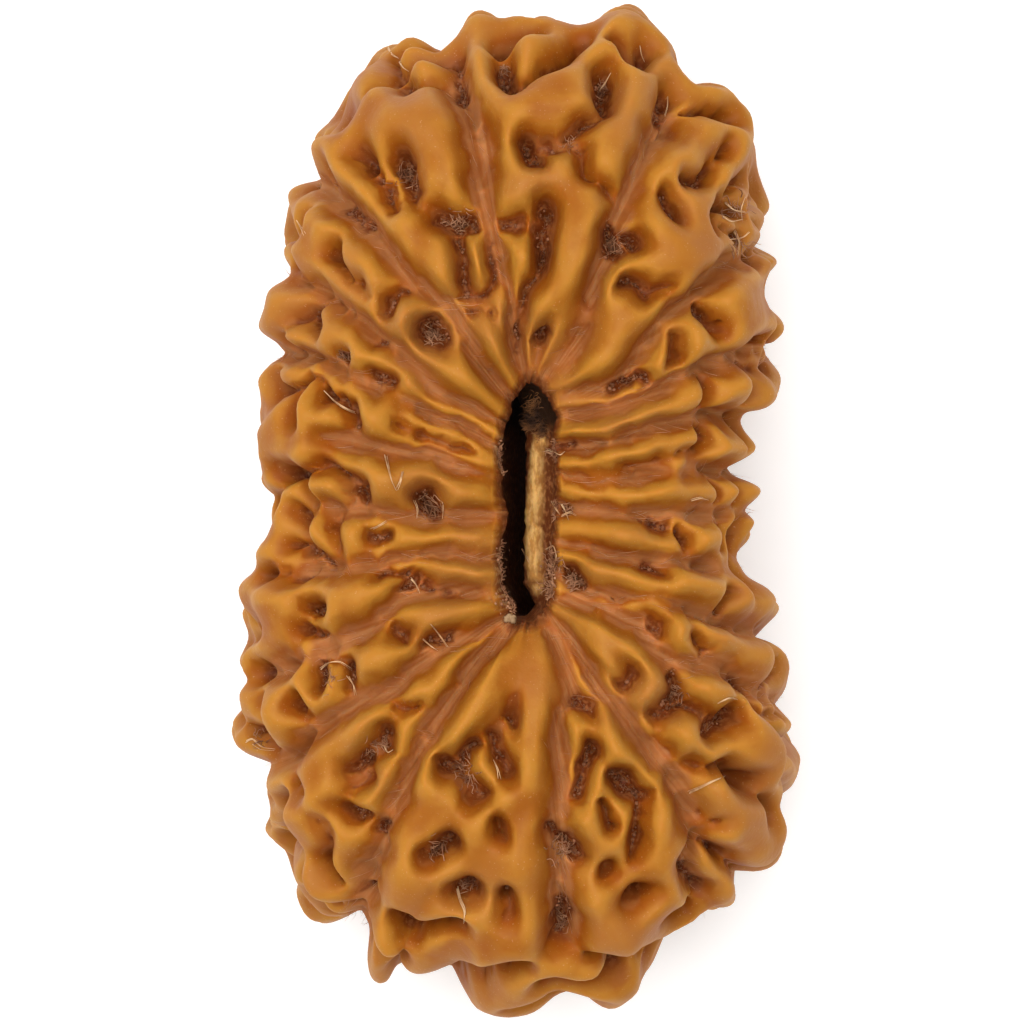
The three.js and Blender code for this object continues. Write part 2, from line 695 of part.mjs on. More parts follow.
// One ring of the hole's wall, a share of the way from the upper mouth to the lower one.
function holeRing(upperMouth, lowerMouth, share) {
  const middle = inPlan(...HOLE_CENTRE);
  return upperMouth.map((top, column) => {
    const bottom = lowerMouth[column];
    const z = lerp(top.z, bottom.z, share);
    const neck = smoothstep(Math.min(top.z - z, z - bottom.z), 0, HOLE_NECK_DEPTH);
    const x = (top.x - middle.x) * lerp(1, HOLE_NECK_WIDTH, neck) + middle.x;
    const y = (top.y - middle.y) * lerp(1, HOLE_NECK_LENGTH, neck) + middle.y;
    return new THREE.Vector3(x + HOLE_NECK_SHIFT * neck, y, z);
  });
}

function seedGeometry() {
  const grid = bodyGrid();
  const upper = upperFurrows(grid);
  const points = skinPoints(grid, [...seamFurrows(grid), ...upper, ...sidePits(upper)]);
  const upperMouth = points.slice(0, COLUMNS);
  const lowerMouth = points.slice(ROWS * COLUMNS);
  for (let k = HOLE_ROWS - 1; k > 0; k--) {
    points.push(...holeRing(upperMouth, lowerMouth, k / HOLE_ROWS));
  }
  const index = [];
  const rings = ROWS + HOLE_ROWS;
  for (let ring = 0; ring < rings; ring++) {
    joinRings(index, ring * COLUMNS, ((ring + 1) % rings) * COLUMNS);
  }
  return geometryOf(points, index);
}

// The same shape with fewer triangles, which stay where the surface bends most.
function thinned(geometry) {
  const [index] = MeshoptSimplifier.simplify(
    new Uint32Array(geometry.index.array),
    geometry.attributes.position.array,
    3,
    TRIANGLES * 3,
    THINNING_ERROR,
  );
  const thin = new THREE.BufferGeometry();
  thin.setAttribute("position", geometry.attributes.position);
  thin.setIndex([...index]);
  return mergeVertices(thin.toNonIndexed());
}

// Brings the part to its length, wears its lowest knobs flat, and stands that flat on the ground
// under the middle of the part.
function setOnGround(geometry) {
  geometry.computeBoundingBox();
  const size = LENGTH / (geometry.boundingBox.max.y - geometry.boundingBox.min.y);
  geometry.scale(size, size, size);
  geometry.computeBoundingBox();
  const { min, max } = geometry.boundingBox;
  const ground = min.z + FOOT_CUT;
  const place = geometry.attributes.position;
  for (let n = 0; n < place.count; n++) {
    place.setXYZ(
      n,
      place.getX(n) - (min.x + max.x) / 2,
      place.getY(n) - (min.y + max.y) / 2,
      Math.max(place.getZ(n), ground) - ground,
    );
  }
  return geometry;
}

await MeshoptSimplifier.ready;

const seed = new THREE.Mesh(setOnGround(thinned(seedGeometry())), WOOD);
seed.name = "rudraksha_stone";

const part = new THREE.Group();
part.add(seed);

export default part;
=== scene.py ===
# %% [markdown]
# # A rudraksha seed
#
# A rudraksha is the stone of a fruit, cleaned of its pulp. It is one woody body with a natural
# thread hole. Seams run like the lines of an orange from one mouth of the hole over the rim to
# the other, and between two seams stands a fat waxy ridge, which pits and furrows break up.
#
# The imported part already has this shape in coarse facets. This lesson builds a finer skin over
# it with the same formula, so that the light finds soft crests and deep pits. It adds what a
# plain solid can't have: the waxy finish, the fibres that the pulp left behind, and the torn lip,
# the bare wood and the dark fuzz of the slit. Lengths are in millimetres until the last step of
# a piece, because the seed is small, and each finished mesh is brought to metres.

import math

import bpy
import numpy as np
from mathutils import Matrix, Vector
from mathutils.bvhtree import BVHTree


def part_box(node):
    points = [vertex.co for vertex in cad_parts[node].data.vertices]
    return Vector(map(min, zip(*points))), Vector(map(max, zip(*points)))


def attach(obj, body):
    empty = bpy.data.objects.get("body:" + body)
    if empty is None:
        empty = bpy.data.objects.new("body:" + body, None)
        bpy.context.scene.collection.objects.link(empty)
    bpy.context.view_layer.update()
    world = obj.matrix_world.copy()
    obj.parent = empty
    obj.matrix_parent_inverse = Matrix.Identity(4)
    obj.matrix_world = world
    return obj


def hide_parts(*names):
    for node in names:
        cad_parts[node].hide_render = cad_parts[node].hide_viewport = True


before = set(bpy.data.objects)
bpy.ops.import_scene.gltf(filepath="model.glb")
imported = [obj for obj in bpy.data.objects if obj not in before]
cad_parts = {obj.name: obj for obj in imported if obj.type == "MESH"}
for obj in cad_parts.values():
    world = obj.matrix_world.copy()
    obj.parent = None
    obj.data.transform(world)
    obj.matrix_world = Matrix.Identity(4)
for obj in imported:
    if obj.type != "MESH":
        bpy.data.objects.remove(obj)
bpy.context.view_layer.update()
STONE_LOW, STONE_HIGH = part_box("rudraksha_stone")
bpy.ops.object.select_all(action="DESELECT")
print("packed seed, mm:", [round(1000 * side, 2) for side in STONE_HIGH - STONE_LOW])

# %% [markdown]
# ## Where things are
#
# The photograph looks straight down on one mouth of the thread hole. Places on the upper side
# are read off it in pixels, and `in_plan` turns them into millimetres, with X to the right and
# Y up in the picture. Seams are listed clockwise from the top of the slit, each from the slit
# to the rim. The outline between two seams follows its knobs. A furrow or pit is a path with
# the half-width of its floor in front.

# %% Sizes read off the photograph
LENGTH = 34.0
PHOTO_LENGTH = 1005
PHOTO_CENTRE = (515, 510)
PHOTO_SIZE = 1024
MM_PER_PIXEL = LENGTH / PHOTO_LENGTH
SPINE = (300, 730)


def in_plan(x, y):
    """A pixel of the photograph as a place in plan, in millimetres."""
    return np.array([(x - PHOTO_CENTRE[0]) * MM_PER_PIXEL, (PHOTO_CENTRE[1] - y) * MM_PER_PIXEL])


print("one pixel of the photograph, mm:", round(MM_PER_PIXEL, 4))

# %% Seams
SEAMS = [
    [527, 384, 512, 350, 511, 320, 500, 280, 492, 240, 484, 200, 482, 165, 475, 130, 463, 98, 449, 52],
    [
      534, 384, 560, 362, 577, 338, 588, 305, 598, 275, 612, 245, 626, 215, 637, 188, 646, 160,
      655, 135, 674, 86,
    ],
    [548, 398, 588, 388, 625, 370, 645, 345, 663, 322, 690, 296, 715, 270, 751, 236],
    [554, 418, 600, 412, 640, 398, 668, 383, 700, 367, 735, 353, 768, 343],
    [555, 444, 585, 449, 620, 440, 660, 425, 700, 411, 730, 410],
    [555, 474, 600, 478, 650, 474, 700, 471, 726, 471],
    [555, 507, 600, 508, 650, 511, 700, 512, 741, 519],
    [554, 540, 600, 550, 650, 561, 700, 562, 730, 570],
    [552, 572, 580, 590, 620, 600, 680, 612, 720, 626, 761, 644],
    [549, 598, 600, 612, 640, 628, 655, 645, 675, 660, 705, 668, 740, 688, 779, 714],
    [
      541, 613, 566, 638, 582, 662, 600, 688, 622, 706, 640, 735, 658, 762, 678, 792, 694, 825,
      690, 865, 685, 912,
    ],
    [
      532, 621, 552, 646, 567, 672, 573, 700, 562, 722, 557, 750, 553, 790, 556, 835, 562, 870,
      562, 905, 563, 974,
    ],
    [
      516, 622, 480, 652, 456, 685, 438, 715, 420, 750, 405, 780, 393, 815, 382, 850, 373, 885,
      366, 922,
    ],
    [
      506, 612, 470, 638, 440, 654, 412, 668, 398, 684, 375, 697, 350, 712, 325, 726, 303, 748,
      273, 775,
    ],
    [502, 594, 450, 592, 405, 600, 385, 617, 362, 634, 335, 648, 300, 666, 256, 692],
    [501, 556, 460, 556, 433, 553, 383, 557, 350, 564, 320, 571, 260, 588],
    [500, 518, 460, 520, 420, 515, 400, 512, 340, 508, 289, 517],
    [500, 484, 470, 479, 440, 462, 410, 451, 385, 447, 350, 438, 282, 431],
    [501, 452, 470, 428, 430, 415, 400, 400, 365, 380, 330, 365, 300, 357, 276, 354],
    [505, 424, 470, 405, 440, 395, 420, 376, 400, 352, 375, 330, 350, 309, 330, 292, 296, 273],
    [
      513, 402, 490, 376, 467, 346, 456, 318, 445, 303, 425, 290, 400, 263, 382, 242, 364, 222,
      345, 200, 323, 170,
    ],
]
print(len(SEAMS), "seams")

# %% Outline
OUTLINE = [
    [
      460, 30, 466, 15, 476, 12, 500, 19, 511, 20, 524, 12, 545, 17, 563, 21, 578, 30, 597, 25,
      612, 11, 624, 8, 636, 14, 655, 26, 678, 46, 681, 64,
    ],
    [692, 75, 706, 70, 722, 79, 727, 97, 744, 118, 747, 148, 748, 185, 766, 204, 763, 220],
    [772, 247, 784, 260, 769, 277, 762, 287, 766, 312, 783, 324, 776, 337],
    [786, 360, 779, 383, 757, 396, 739, 402],
    [745, 425, 755, 438, 745, 450, 733, 463],
    [745, 478, 762, 490, 756, 505],
    [751, 535, 747, 551],
    [746, 583, 761, 598, 774, 618, 768, 631],
    [783, 658, 790, 676, 796, 700],
    [
      791, 735, 788, 746, 796, 764, 792, 787, 775, 792, 768, 800, 780, 825, 781, 848, 768, 863,
      748, 872, 738, 874, 740, 892, 728, 913, 702, 923,
    ],
    [675, 933, 657, 946, 646, 970, 625, 997, 600, 1008, 582, 998],
    [
      555, 992, 546, 1008, 512, 1013, 484, 1002, 464, 978, 450, 958, 424, 967, 398, 958, 389, 974,
      375, 981, 361, 965, 364, 942,
    ],
    [
      343, 930, 326, 933, 312, 918, 305, 900, 298, 888, 297, 866, 280, 840, 267, 833, 270, 817,
      277, 805, 261, 791,
    ],
    [258, 757, 242, 744, 233, 722, 243, 705],
    [241, 681, 233, 666, 247, 653, 255, 640, 244, 622, 239, 605],
    [253, 573, 261, 552, 276, 537],
    [269, 500, 261, 489, 263, 465, 259, 449, 269, 437],
    [267, 415, 259, 390, 254, 370],
    [266, 343, 258, 332, 274, 311, 271, 293, 281, 280],
    [288, 258, 281, 243, 298, 228, 296, 206, 292, 185],
    [315, 148, 318, 131, 344, 117, 352, 98, 368, 68, 396, 41, 416, 32, 436, 42],
]
print(len(OUTLINE), "stretches of outline")

# %% Furrows and pits
FURROWS = [
    # top face
    [10, 509, 66, 511, 84],
    [6, 516, 92, 540, 80, 562, 66, 582, 52],
    [9, 603, 78, 601, 108],
    [5, 612, 50, 636, 70],
    [6, 636, 70, 646, 57],
    [4, 515, 24, 538, 30],
    [9, 524, 148, 533, 160],
    [6, 535, 150, 548, 145],
    [3, 548, 145, 576, 150, 583, 170, 600, 190, 618, 200],
    [4, 558, 140, 578, 126, 598, 118],
    [9, 546, 212, 540, 238, 539, 268],
    [5, 539, 268, 526, 292, 520, 322, 514, 352],
    [6, 543, 333, 541, 341],
    [12, 612, 232, 615, 250],
    [8, 625, 236, 633, 243],
    [6, 503, 228, 522, 226],
    # left of it
    [10, 447, 222, 470, 228],
    [5, 455, 240, 460, 270, 462, 292],
    [5, 488, 245, 490, 270, 478, 298, 462, 300],
    [6, 470, 312, 482, 311],
    [11, 400, 160, 412, 178, 420, 195],
    [3, 385, 182, 400, 200],
    [6, 366, 157, 370, 166],
    [4, 376, 172, 390, 200, 396, 212],
    [3, 398, 214, 412, 204, 428, 208, 446, 219],
    [7, 402, 83, 411, 92],
    [5, 378, 95, 390, 88],
    [4, 393, 76, 391, 62, 398, 56],
    [5, 398, 54, 405, 50],
    [3, 412, 90, 430, 84, 447, 84],
    [7, 455, 55, 463, 88],
    [7, 349, 126, 358, 128],
    [10, 478, 130, 483, 185],
    # upper left
    [7, 336, 203, 350, 215, 362, 225],
    [6, 335, 256, 340, 258],
    [4, 340, 262, 352, 278, 370, 292],
    [8, 388, 300, 389, 312],
    [5, 392, 298, 408, 292],
    [13, 432, 330, 437, 342],
    [3, 303, 226, 300, 248, 303, 266],
    [7, 308, 317, 319, 332],
    [4, 298, 320, 312, 305, 328, 298],
    [5, 340, 352, 344, 356],
    [6, 378, 344, 390, 352],
    [7, 370, 377, 389, 385],
    [4, 283, 396, 300, 388, 318, 382],
    [5, 324, 394, 338, 400, 352, 412],
    [6, 350, 408, 357, 424],
    [3, 308, 385, 303, 402, 308, 422],
    [4, 272, 372, 285, 392],
    [3, 400, 428, 440, 440, 470, 452],
    # left side
    [7, 289, 475, 303, 471],
    [5, 328, 464, 350, 473, 362, 480],
    [7, 352, 484, 360, 492],
    [3, 326, 466, 312, 474, 308, 488, 315, 502, 332, 506, 348, 500, 352, 486],
    [12, 430, 500, 440, 514],
    [6, 370, 530, 384, 532],
    [3, 338, 512, 334, 530, 340, 548],
    [4, 300, 514, 312, 530, 310, 546],
    [5, 297, 548, 314, 553, 326, 562],
    [4, 275, 573, 302, 576],
    [6, 404, 588, 422, 580],
    [5, 384, 573, 410, 573],
    [5, 430, 590, 452, 597],
    [6, 310, 606, 323, 604],
    [4, 268, 632, 275, 629],
    [6, 306, 630, 322, 638],
    [6, 397, 633, 406, 638],
    [7, 428, 646, 450, 640],
    # lower left
    [8, 320, 666, 322, 688],
    [6, 350, 668, 354, 692],
    [3, 322, 662, 336, 658, 350, 664],
    [7, 297, 699, 305, 712],
    [4, 249, 728, 263, 730],
    [3, 266, 698, 268, 722, 262, 742],
    [8, 352, 767, 368, 758, 385, 746, 389, 730],
    [4, 300, 780, 318, 794, 330, 812],
    [6, 348, 806, 363, 812],
    [10, 378, 829, 389, 825],
    [3, 332, 815, 337, 840, 333, 862],
    [5, 333, 862, 340, 882],
    [3, 272, 842, 292, 836, 310, 838],
    [6, 354, 898, 368, 893],
    [4, 400, 704, 418, 708],
    [4, 280, 822, 292, 842],
    [3, 372, 772, 350, 786, 338, 800],
    # broad lower face
    [5, 513, 717, 517, 720],
    [9, 445, 766, 460, 769, 468, 785, 478, 793],
    [6, 462, 760, 470, 748, 480, 745],
    [7, 495, 735, 499, 752, 506, 770],
    [7, 430, 854, 452, 840],
    [8, 455, 886, 471, 881],
    [4, 499, 822, 501, 829],
    [7, 505, 892, 508, 907],
    [8, 402, 918, 416, 925],
    [5, 420, 924, 440, 920, 456, 911],
    [4, 400, 958, 430, 955, 455, 948, 480, 962, 500, 965],
    [5, 500, 962, 520, 956],
    [4, 479, 972, 489, 972],
    # right of it
    [8, 578, 703, 593, 709],
    [9, 578, 783, 582, 765, 591, 747],
    [9, 617, 774, 632, 788, 643, 801],
    [6, 643, 801, 640, 826, 632, 851],
    [5, 600, 797, 607, 810, 613, 825],
    [5, 597, 873, 607, 864],
    [7, 623, 892, 636, 888],
    [9, 549, 820, 560, 838, 576, 858],
    [10, 562, 907, 562, 936],
    [3, 590, 951, 620, 949, 642, 944],
    [4, 612, 955, 621, 956],
    # lower right
    [8, 624, 681, 635, 672],
    [8, 677, 673, 681, 690, 669, 700],
    [7, 655, 713, 668, 706, 690, 706, 702, 722],
    [3, 655, 713, 657, 735, 668, 757, 684, 764],
    [9, 709, 729, 725, 725, 734, 714],
    [3, 684, 764, 704, 766, 722, 762],
    [9, 726, 773, 743, 781],
    [6, 707, 812, 716, 817],
    [8, 685, 858, 694, 878, 706, 893],
    [5, 652, 624, 660, 630],
    [4, 688, 641, 706, 649],
    [5, 771, 682, 776, 668],
    [3, 756, 704, 767, 718, 770, 740, 771, 765, 767, 790],
    [3, 770, 714, 788, 714],
    [4, 772, 744, 788, 746],
    [4, 740, 680, 760, 690],
    [4, 704, 830, 716, 850, 730, 866, 742, 874],
    [5, 752, 799, 761, 812],
    # right side
    [6, 560, 452, 576, 450],
    [3, 600, 466, 650, 465, 690, 452, 706, 444],
    [5, 698, 430, 707, 437],
    [6, 652, 520, 668, 525],
    [6, 681, 530, 693, 538],
    [6, 641, 562, 652, 571],
    [9, 566, 573, 577, 582],
    [6, 562, 503, 566, 509],
    [4, 712, 484, 722, 498],
    [3, 734, 484, 736, 500],
    [3, 702, 378, 708, 392, 704, 408],
    [4, 722, 526, 724, 542],
    [4, 727, 590, 724, 606],
    # upper right
    [8, 703, 311, 713, 331],
    [7, 673, 343, 672, 363],
    [7, 606, 388, 620, 384, 640, 381],
    [9, 654, 141, 667, 130, 676, 122],
    [6, 667, 98, 665, 118],
    [6, 688, 187, 706, 180],
    [4, 706, 180, 711, 160, 720, 146],
    [5, 671, 202, 679, 218],
    [6, 720, 206, 736, 214],
    [5, 716, 206, 712, 226],
    [5, 728, 231, 741, 242],
    [4, 735, 178, 728, 192],
    [5, 628, 286, 645, 298, 663, 292],
    [5, 675, 84, 700, 88],
    [4, 690, 112, 722, 122],
    [5, 742, 195, 749, 216],
    [4, 752, 285, 760, 300, 766, 318],
    [4, 740, 362, 755, 372, 772, 375],
    [3, 746, 368, 750, 380, 746, 394],
    [4, 742, 346, 762, 338],
]
print(len(FURROWS), "furrows and pits")

# %% [markdown]
# ## The smooth body under the ridges
#
# Under the ridges lies a smooth body like a cushion with a slit through it. It is drawn between
# two closed loops: the mouth of the slit, and the rim, which is the outline brought in by the
# height of the ridges and smoothed. A place on the body is a share of the way round and an angle,
# from the upper mouth over the rim to the lower mouth. Working in these two numbers is easier
# than sculpting, because every seam keeps its place on both sides of the seed.

# %% The two loops
FACES = len(SEAMS)
TIP_INSET = 0.9
NOTCH_INSET = 0.12


def rim_point(x, y, inset):
    """A point of the outline, brought in towards the middle line."""
    point = in_plan(x, y)
    ends = [in_plan(0, end)[1] for end in SPINE]
    inwards = np.array([0.0, np.clip(point[1], min(ends), max(ends))]) - point
    return point + inwards / np.linalg.norm(inwards) * inset


def mouth_and_rim():
    """Both loops, with as many points each, and which of them are on seams."""
    mouth, rim, starts = [], [], []
    for face, path in enumerate(SEAMS):
        following = SEAMS[(face + 1) % FACES]
        outline = np.array(OUTLINE[face], float).reshape(-1, 2)
        starts.append(len(rim))
        rim.append(rim_point(*path[-2:], NOTCH_INSET))
        rim += [rim_point(*point, TIP_INSET) for point in outline]
        start, end = in_plan(*path[:2]), in_plan(*following[:2])
        steps = np.arange(len(outline) + 1) / (len(outline) + 1)
        mouth += [start + (end - start) * share for share in steps]
    return np.array(mouth), np.array(rim), starts + [len(rim)]


MOUTH, KNOBBLY_RIM, STARTS = mouth_and_rim()
print("mouth, mm:", np.round(np.ptp(MOUTH, axis=0), 2))

# %% Even steps round the rim
LOOP_SAMPLES = 1000
RIM_SAMPLES = 420
RIM_SMOOTHING = 14


def on_loop(points, share):
    """A smooth closed curve through the points."""
    at = np.mod(share, 1.0) * len(points)
    index = np.floor(at).astype(int)
    w = (at - index)[..., None]
    a, b, c, d = (points[(index + k) % len(points)] for k in (-1, 0, 1, 2))
    return b + 0.5 * w * (c - a + w * (2 * a - 5 * b + 4 * c - d + w * (3 * (b - c) + d - a)))


TURNS = np.linspace(0, 1, LOOP_SAMPLES + 1)
TRAVELLED = np.concatenate(
    [[0], np.cumsum(np.linalg.norm(np.diff(on_loop(KNOBBLY_RIM, TURNS), axis=0), axis=1))]
)
TRAVELLED /= TRAVELLED[-1]
SEAM_PLACES = TRAVELLED[np.round(np.array(STARTS) / STARTS[-1] * LOOP_SAMPLES).astype(int)]


def turn_of(place):
    """The share of a loop's points that lies a share of the way round the rim."""
    return np.interp(np.mod(place, 1.0), TRAVELLED, TURNS)


spaced = on_loop(KNOBBLY_RIM, turn_of(np.arange(RIM_SAMPLES) / RIM_SAMPLES))
RIM = sum(np.roll(spaced, k, 0) for k in range(-RIM_SMOOTHING, RIM_SMOOTHING + 1))
RIM /= 2 * RIM_SMOOTHING + 1
print("rim, mm:", np.round(np.ptp(RIM, axis=0), 2))

# %% The body
HALF_HEIGHT = 9.0
FULLNESS = 0.68
WAIST_DROP = 0.05
WAIST_REACH = 5.0
DIMPLE = 1.1
DIMPLE_REACH = 2.6


def across_face(face, share):
    """The place a share of the way across a face from its first seam."""
    return SEAM_PLACES[face] + (SEAM_PLACES[face + 1] - SEAM_PLACES[face]) * np.asarray(share)


def body_point(place, angle):
    """The body's point at a place and an angle: low at the waist, sunk round the two mouths."""
    place, angle = np.broadcast_arrays(np.asarray(place, float), np.asarray(angle, float))
    mouth, rim = on_loop(MOUTH, turn_of(place)), on_loop(RIM, place)
    share = np.maximum(np.sin(angle), 0) ** FULLNESS
    away = np.linalg.norm(rim - mouth, axis=-1) * share
    plan = mouth + (rim - mouth) * share[..., None]
    waist = 1 - WAIST_DROP * np.exp(-((plan[..., 1] / WAIST_REACH) ** 2))
    dimple = DIMPLE * np.exp(-((away / DIMPLE_REACH) ** 2))
    rise = np.abs(np.cos(angle)) ** FULLNESS * HALF_HEIGHT * waist - dimple
    return np.concatenate([plan, (np.sign(np.cos(angle)) * rise)[..., None]], -1)


widths = [np.ptp(body_point(across_face(face, [0, 1]), np.pi / 2), axis=0) for face in range(FACES)]
print("faces at the rim, mm wide:", np.round(np.linalg.norm(widths, axis=1), 1))

# %% A grid of points on the body
FLUTE_REACH = 6.0
FLUTE_STEEPNESS = 4
LEAN = 2.4


def body_grid(columns, rows, last):
    """Points from the upper mouth to an angle, what the knobs of the rim add to them, and the
    direction in which the relief rises from them."""
    places = np.arange(columns) / columns
    points = body_point(places[None, :], (last * np.arange(rows + 1) / rows)[:, None])
    knobs = on_loop(KNOBBLY_RIM, turn_of(places)) - on_loop(RIM, places)
    flutes = np.zeros_like(points)
    flutes[..., :2] = knobs[None] * np.exp(-((points[..., 2:] / FLUTE_REACH) ** FLUTE_STEEPNESS))
    rises = np.cross(np.roll(points, -1, 1) - np.roll(points, 1, 1), np.gradient(points, axis=0))
    rises /= np.maximum(np.linalg.norm(rises, axis=-1, keepdims=True), 1e-12)
    rises[..., 2] *= LEAN
    return points, flutes, rises / np.linalg.norm(rises, axis=-1, keepdims=True)


upper_points, upper_flutes, upper_rises = body_grid(560, 120, np.pi / 2)
print("upper half sampled at", upper_points[..., 0].size, "points")

# %% [markdown]
# ## Uneven growth
#
# Nothing on a grown seed is even: its ridges swell, its furrows wander. A noise would do, but the
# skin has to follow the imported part, so both use the same sum of a few slanted sine waves. It is
# smooth, it needs no random draws, and one line of numbers sets the size and the height of its
# lumps.

# %% A smooth unevenness
WAVES = 7
WAVE_TURN = 2.39996
WAVE_SHIFT = 1.7
WAVE_SPREAD = 1.4


def unevenness(points, wavelength, phase):
    """A smooth unevenness in space, about -1 to 1."""
    total = 0
    for k in range(WAVES):
        z = 1 - (2 * k + 1) / WAVES
        flat = math.sqrt(1 - z * z)
        turn = k * WAVE_TURN
        along = points @ np.array([flat * math.cos(turn), flat * math.sin(turn), z])
        total = total + np.sin(2 * np.pi * along / wavelength + phase + WAVE_SHIFT * k * k)
    return total / (WAVE_SPREAD * math.sqrt(WAVES))


def layered(points, layers):
    """Layers of unevenness on top of each other: each is a wavelength, a reach and a phase."""
    return sum(reach * unevenness(points, length, phase) for length, reach, phase in layers)


print("unevenness along the rim:", np.round(unevenness(body_point([0, 0.1, 0.2], np.pi / 2), 2, 0), 2))

# %% Furrows that wander
WANDER = [(4.2, 0.2), (1.7, 0.08), (0.9, 0.08), (0.5, 0.05)]
WANDER_PHASES = (0.3, 2.1, 4.4)
CALM_AT_RIM = 0.9
CALM_REACH = 6.0


def wandered(points):
    """Where furrows are looked up for each point, so that they wander. Near the rim they hardly
    do, because there they have to meet the notches of the outline."""
    moved = points.copy()
    free = 1 - CALM_AT_RIM * np.exp(-((points[..., 2] / CALM_REACH) ** 2))
    for wavelength, reach in WANDER:
        for axis, phase in enumerate(WANDER_PHASES):
            moved[..., axis] += reach * free * unevenness(points, wavelength, phase)
    return moved


strayed = np.linalg.norm(wandered(upper_points) - upper_points, axis=-1)
print("furrows wander up to", round(float(strayed.max()), 2), "mm")

# %% [markdown]
# ## The furrows that leave the ridges standing
#
# Nature grew the ridges, but it is easier to cut them free: the ridges' height is set down as one
# thick coat over the body, and seams, furrows and pits take it away around them. Each is a path
# with a half-width. On the upper side they are where the photograph shows them. On the sides and
# below nothing shows, so rows of pits follow each face, with fixed draws for what varies.

# %% Furrows read off the photograph
READ_LEVEL = 0.6
SEAM_RADIUS = (0.02, 0.17, 0.3)
SEAM_WIDENS = (0, 6, 13)
SEAM_BANK = 0.3
SEAM_STEPS = 16
WALL = -0.06
LEAST_RADIUS = 0.04
PIT_BANK = 0.17
GROOVE = 3.5
GROOVE_BANK = 0.22


def shown_at(path, level):
    """The body's points that show at pixels of the photograph, for what stands at a level."""
    shown = (upper_points + upper_flutes + upper_rises * level)[..., :2].reshape(-1, 2)
    return np.array([
        upper_points.reshape(-1, 3)[((shown - in_plan(x, y)) ** 2).sum(1).argmin()]
        for x, y in zip(path[::2], path[1::2])
    ])


def seam_furrows():
    """The seams, from one mouth to the other, as points, radii and the width of their banks."""
    furrows = []
    for seam, path in enumerate(SEAMS):
        angles = np.pi / 2 * (1 + np.arange(SEAM_STEPS + 1) / SEAM_STEPS)
        points = np.concatenate([shown_at(path[:-2], 0), body_point(across_face(seam, 0), angles)])
        away = np.linalg.norm(points[:, :2] - points[0, :2], axis=1)
        radii = np.interp(away, SEAM_WIDENS, SEAM_RADIUS)
        furrows.append((points, radii, SEAM_BANK))
    return furrows


def upper_furrows():
    """The furrows and pits of the upper side, in the same form."""
    furrows = []
    for half_width, *path in FURROWS:
        points = shown_at(path, READ_LEVEL)
        radius = max(half_width * MM_PER_PIXEL + WALL, LEAST_RADIUS)
        bank = PIT_BANK if half_width > GROOVE else GROOVE_BANK
        furrows.append((points, np.full(len(points), radius), bank))
    return furrows


seams = seam_furrows()
upper = upper_furrows()
print(len(seams), "seams,", len(upper), "furrows and pits read off")

# %% [markdown]
# ## Pits where nothing shows
#
# On the hidden side each face has rows of pits, as the shown side has. Some stand alone, and some
# open into a seam or into the pit beside them. A list by hand would be long, so a rule lays the
# rows out, and a small formula gives draws that are the same in each run.

# %% Fixed draws and the rows of a face
SEED = 5
DRAW_STEP = 12.9898
DRAW_SCALE = 43758.5453
FIRST_PIT = 4.4
LAST_PIT = 1.2
ROW_STEP = 1.65
MERIDIAN_SAMPLES = 200


def draws_from(number):
    """Fixed draws between 0 and 1, one after another, that start from a number."""
    state = [SEED + number]

    def draw():
        state[0] += DRAW_STEP
        x = np.sin(state[0]) * DRAW_SCALE
        return x - np.floor(x)

    return draw


def between(pair, share):
    return pair[0] + (pair[1] - pair[0]) * share


def pit_rows(face):
    """The rows of pits down a face: the angle of each, and how many millimetres a radian is."""
    angles = np.pi * np.arange(MERIDIAN_SAMPLES + 1) / MERIDIAN_SAMPLES
    points = body_point(across_face(face, 0.5), angles)
    steps = np.linalg.norm(np.diff(points, axis=0), axis=1)
    travelled = np.cumsum(steps)
    following = travelled[MERIDIAN_SAMPLES // 2 - 1] - FIRST_PIT
    rows = []
    for k in range(MERIDIAN_SAMPLES):
        if travelled[k] >= following and following <= travelled[-1] - LAST_PIT:
            rows.append((angles[k + 1], steps[k] * MERIDIAN_SAMPLES / np.pi))
            following += ROW_STEP
    return rows


print("rows of pits on each face:", [len(pit_rows(face)) for face in range(FACES)])

# %% The pits of a row
ROW_DRIFT = 0.7
PIT_STEP = 1.95
PIT_RADIUS = (0.12, 0.38)
STAGGER = 0.25
LOOSENESS = 0.3
OPEN_SHARE = 0.6
OPENING_RADIUS = 0.05
OPEN_FALL = (-0.15, 0.35)
CLOSED_FALL = (0, 0.7)
CLOSED_DRIFT = 0.06


def side_pit(face, row, across, beside, draw):
    """A pit that stands alone, or opens into the nearer seam or the pit beside it."""
    angle, per_radian = row
    opens = draw() < OPEN_SHARE
    radius = between(PIT_RADIUS, draw())
    turn = angle + ROW_DRIFT * (draw() - 0.5) / per_radian
    drift = 0 if opens else CLOSED_DRIFT * (2 * draw() - 1)
    fall = between(OPEN_FALL if opens else CLOSED_FALL, draw())
    start = beside if opens else across - drift
    share = np.array([0, 0.5, 1])
    places = across_face(face, start + (across + drift - start) * share)
    points = body_point(places, turn + fall * share / per_radian)
    radii = np.array([OPENING_RADIUS, radius / 2, radius]) if opens else np.full(3, radius)
    return points, radii, PIT_BANK


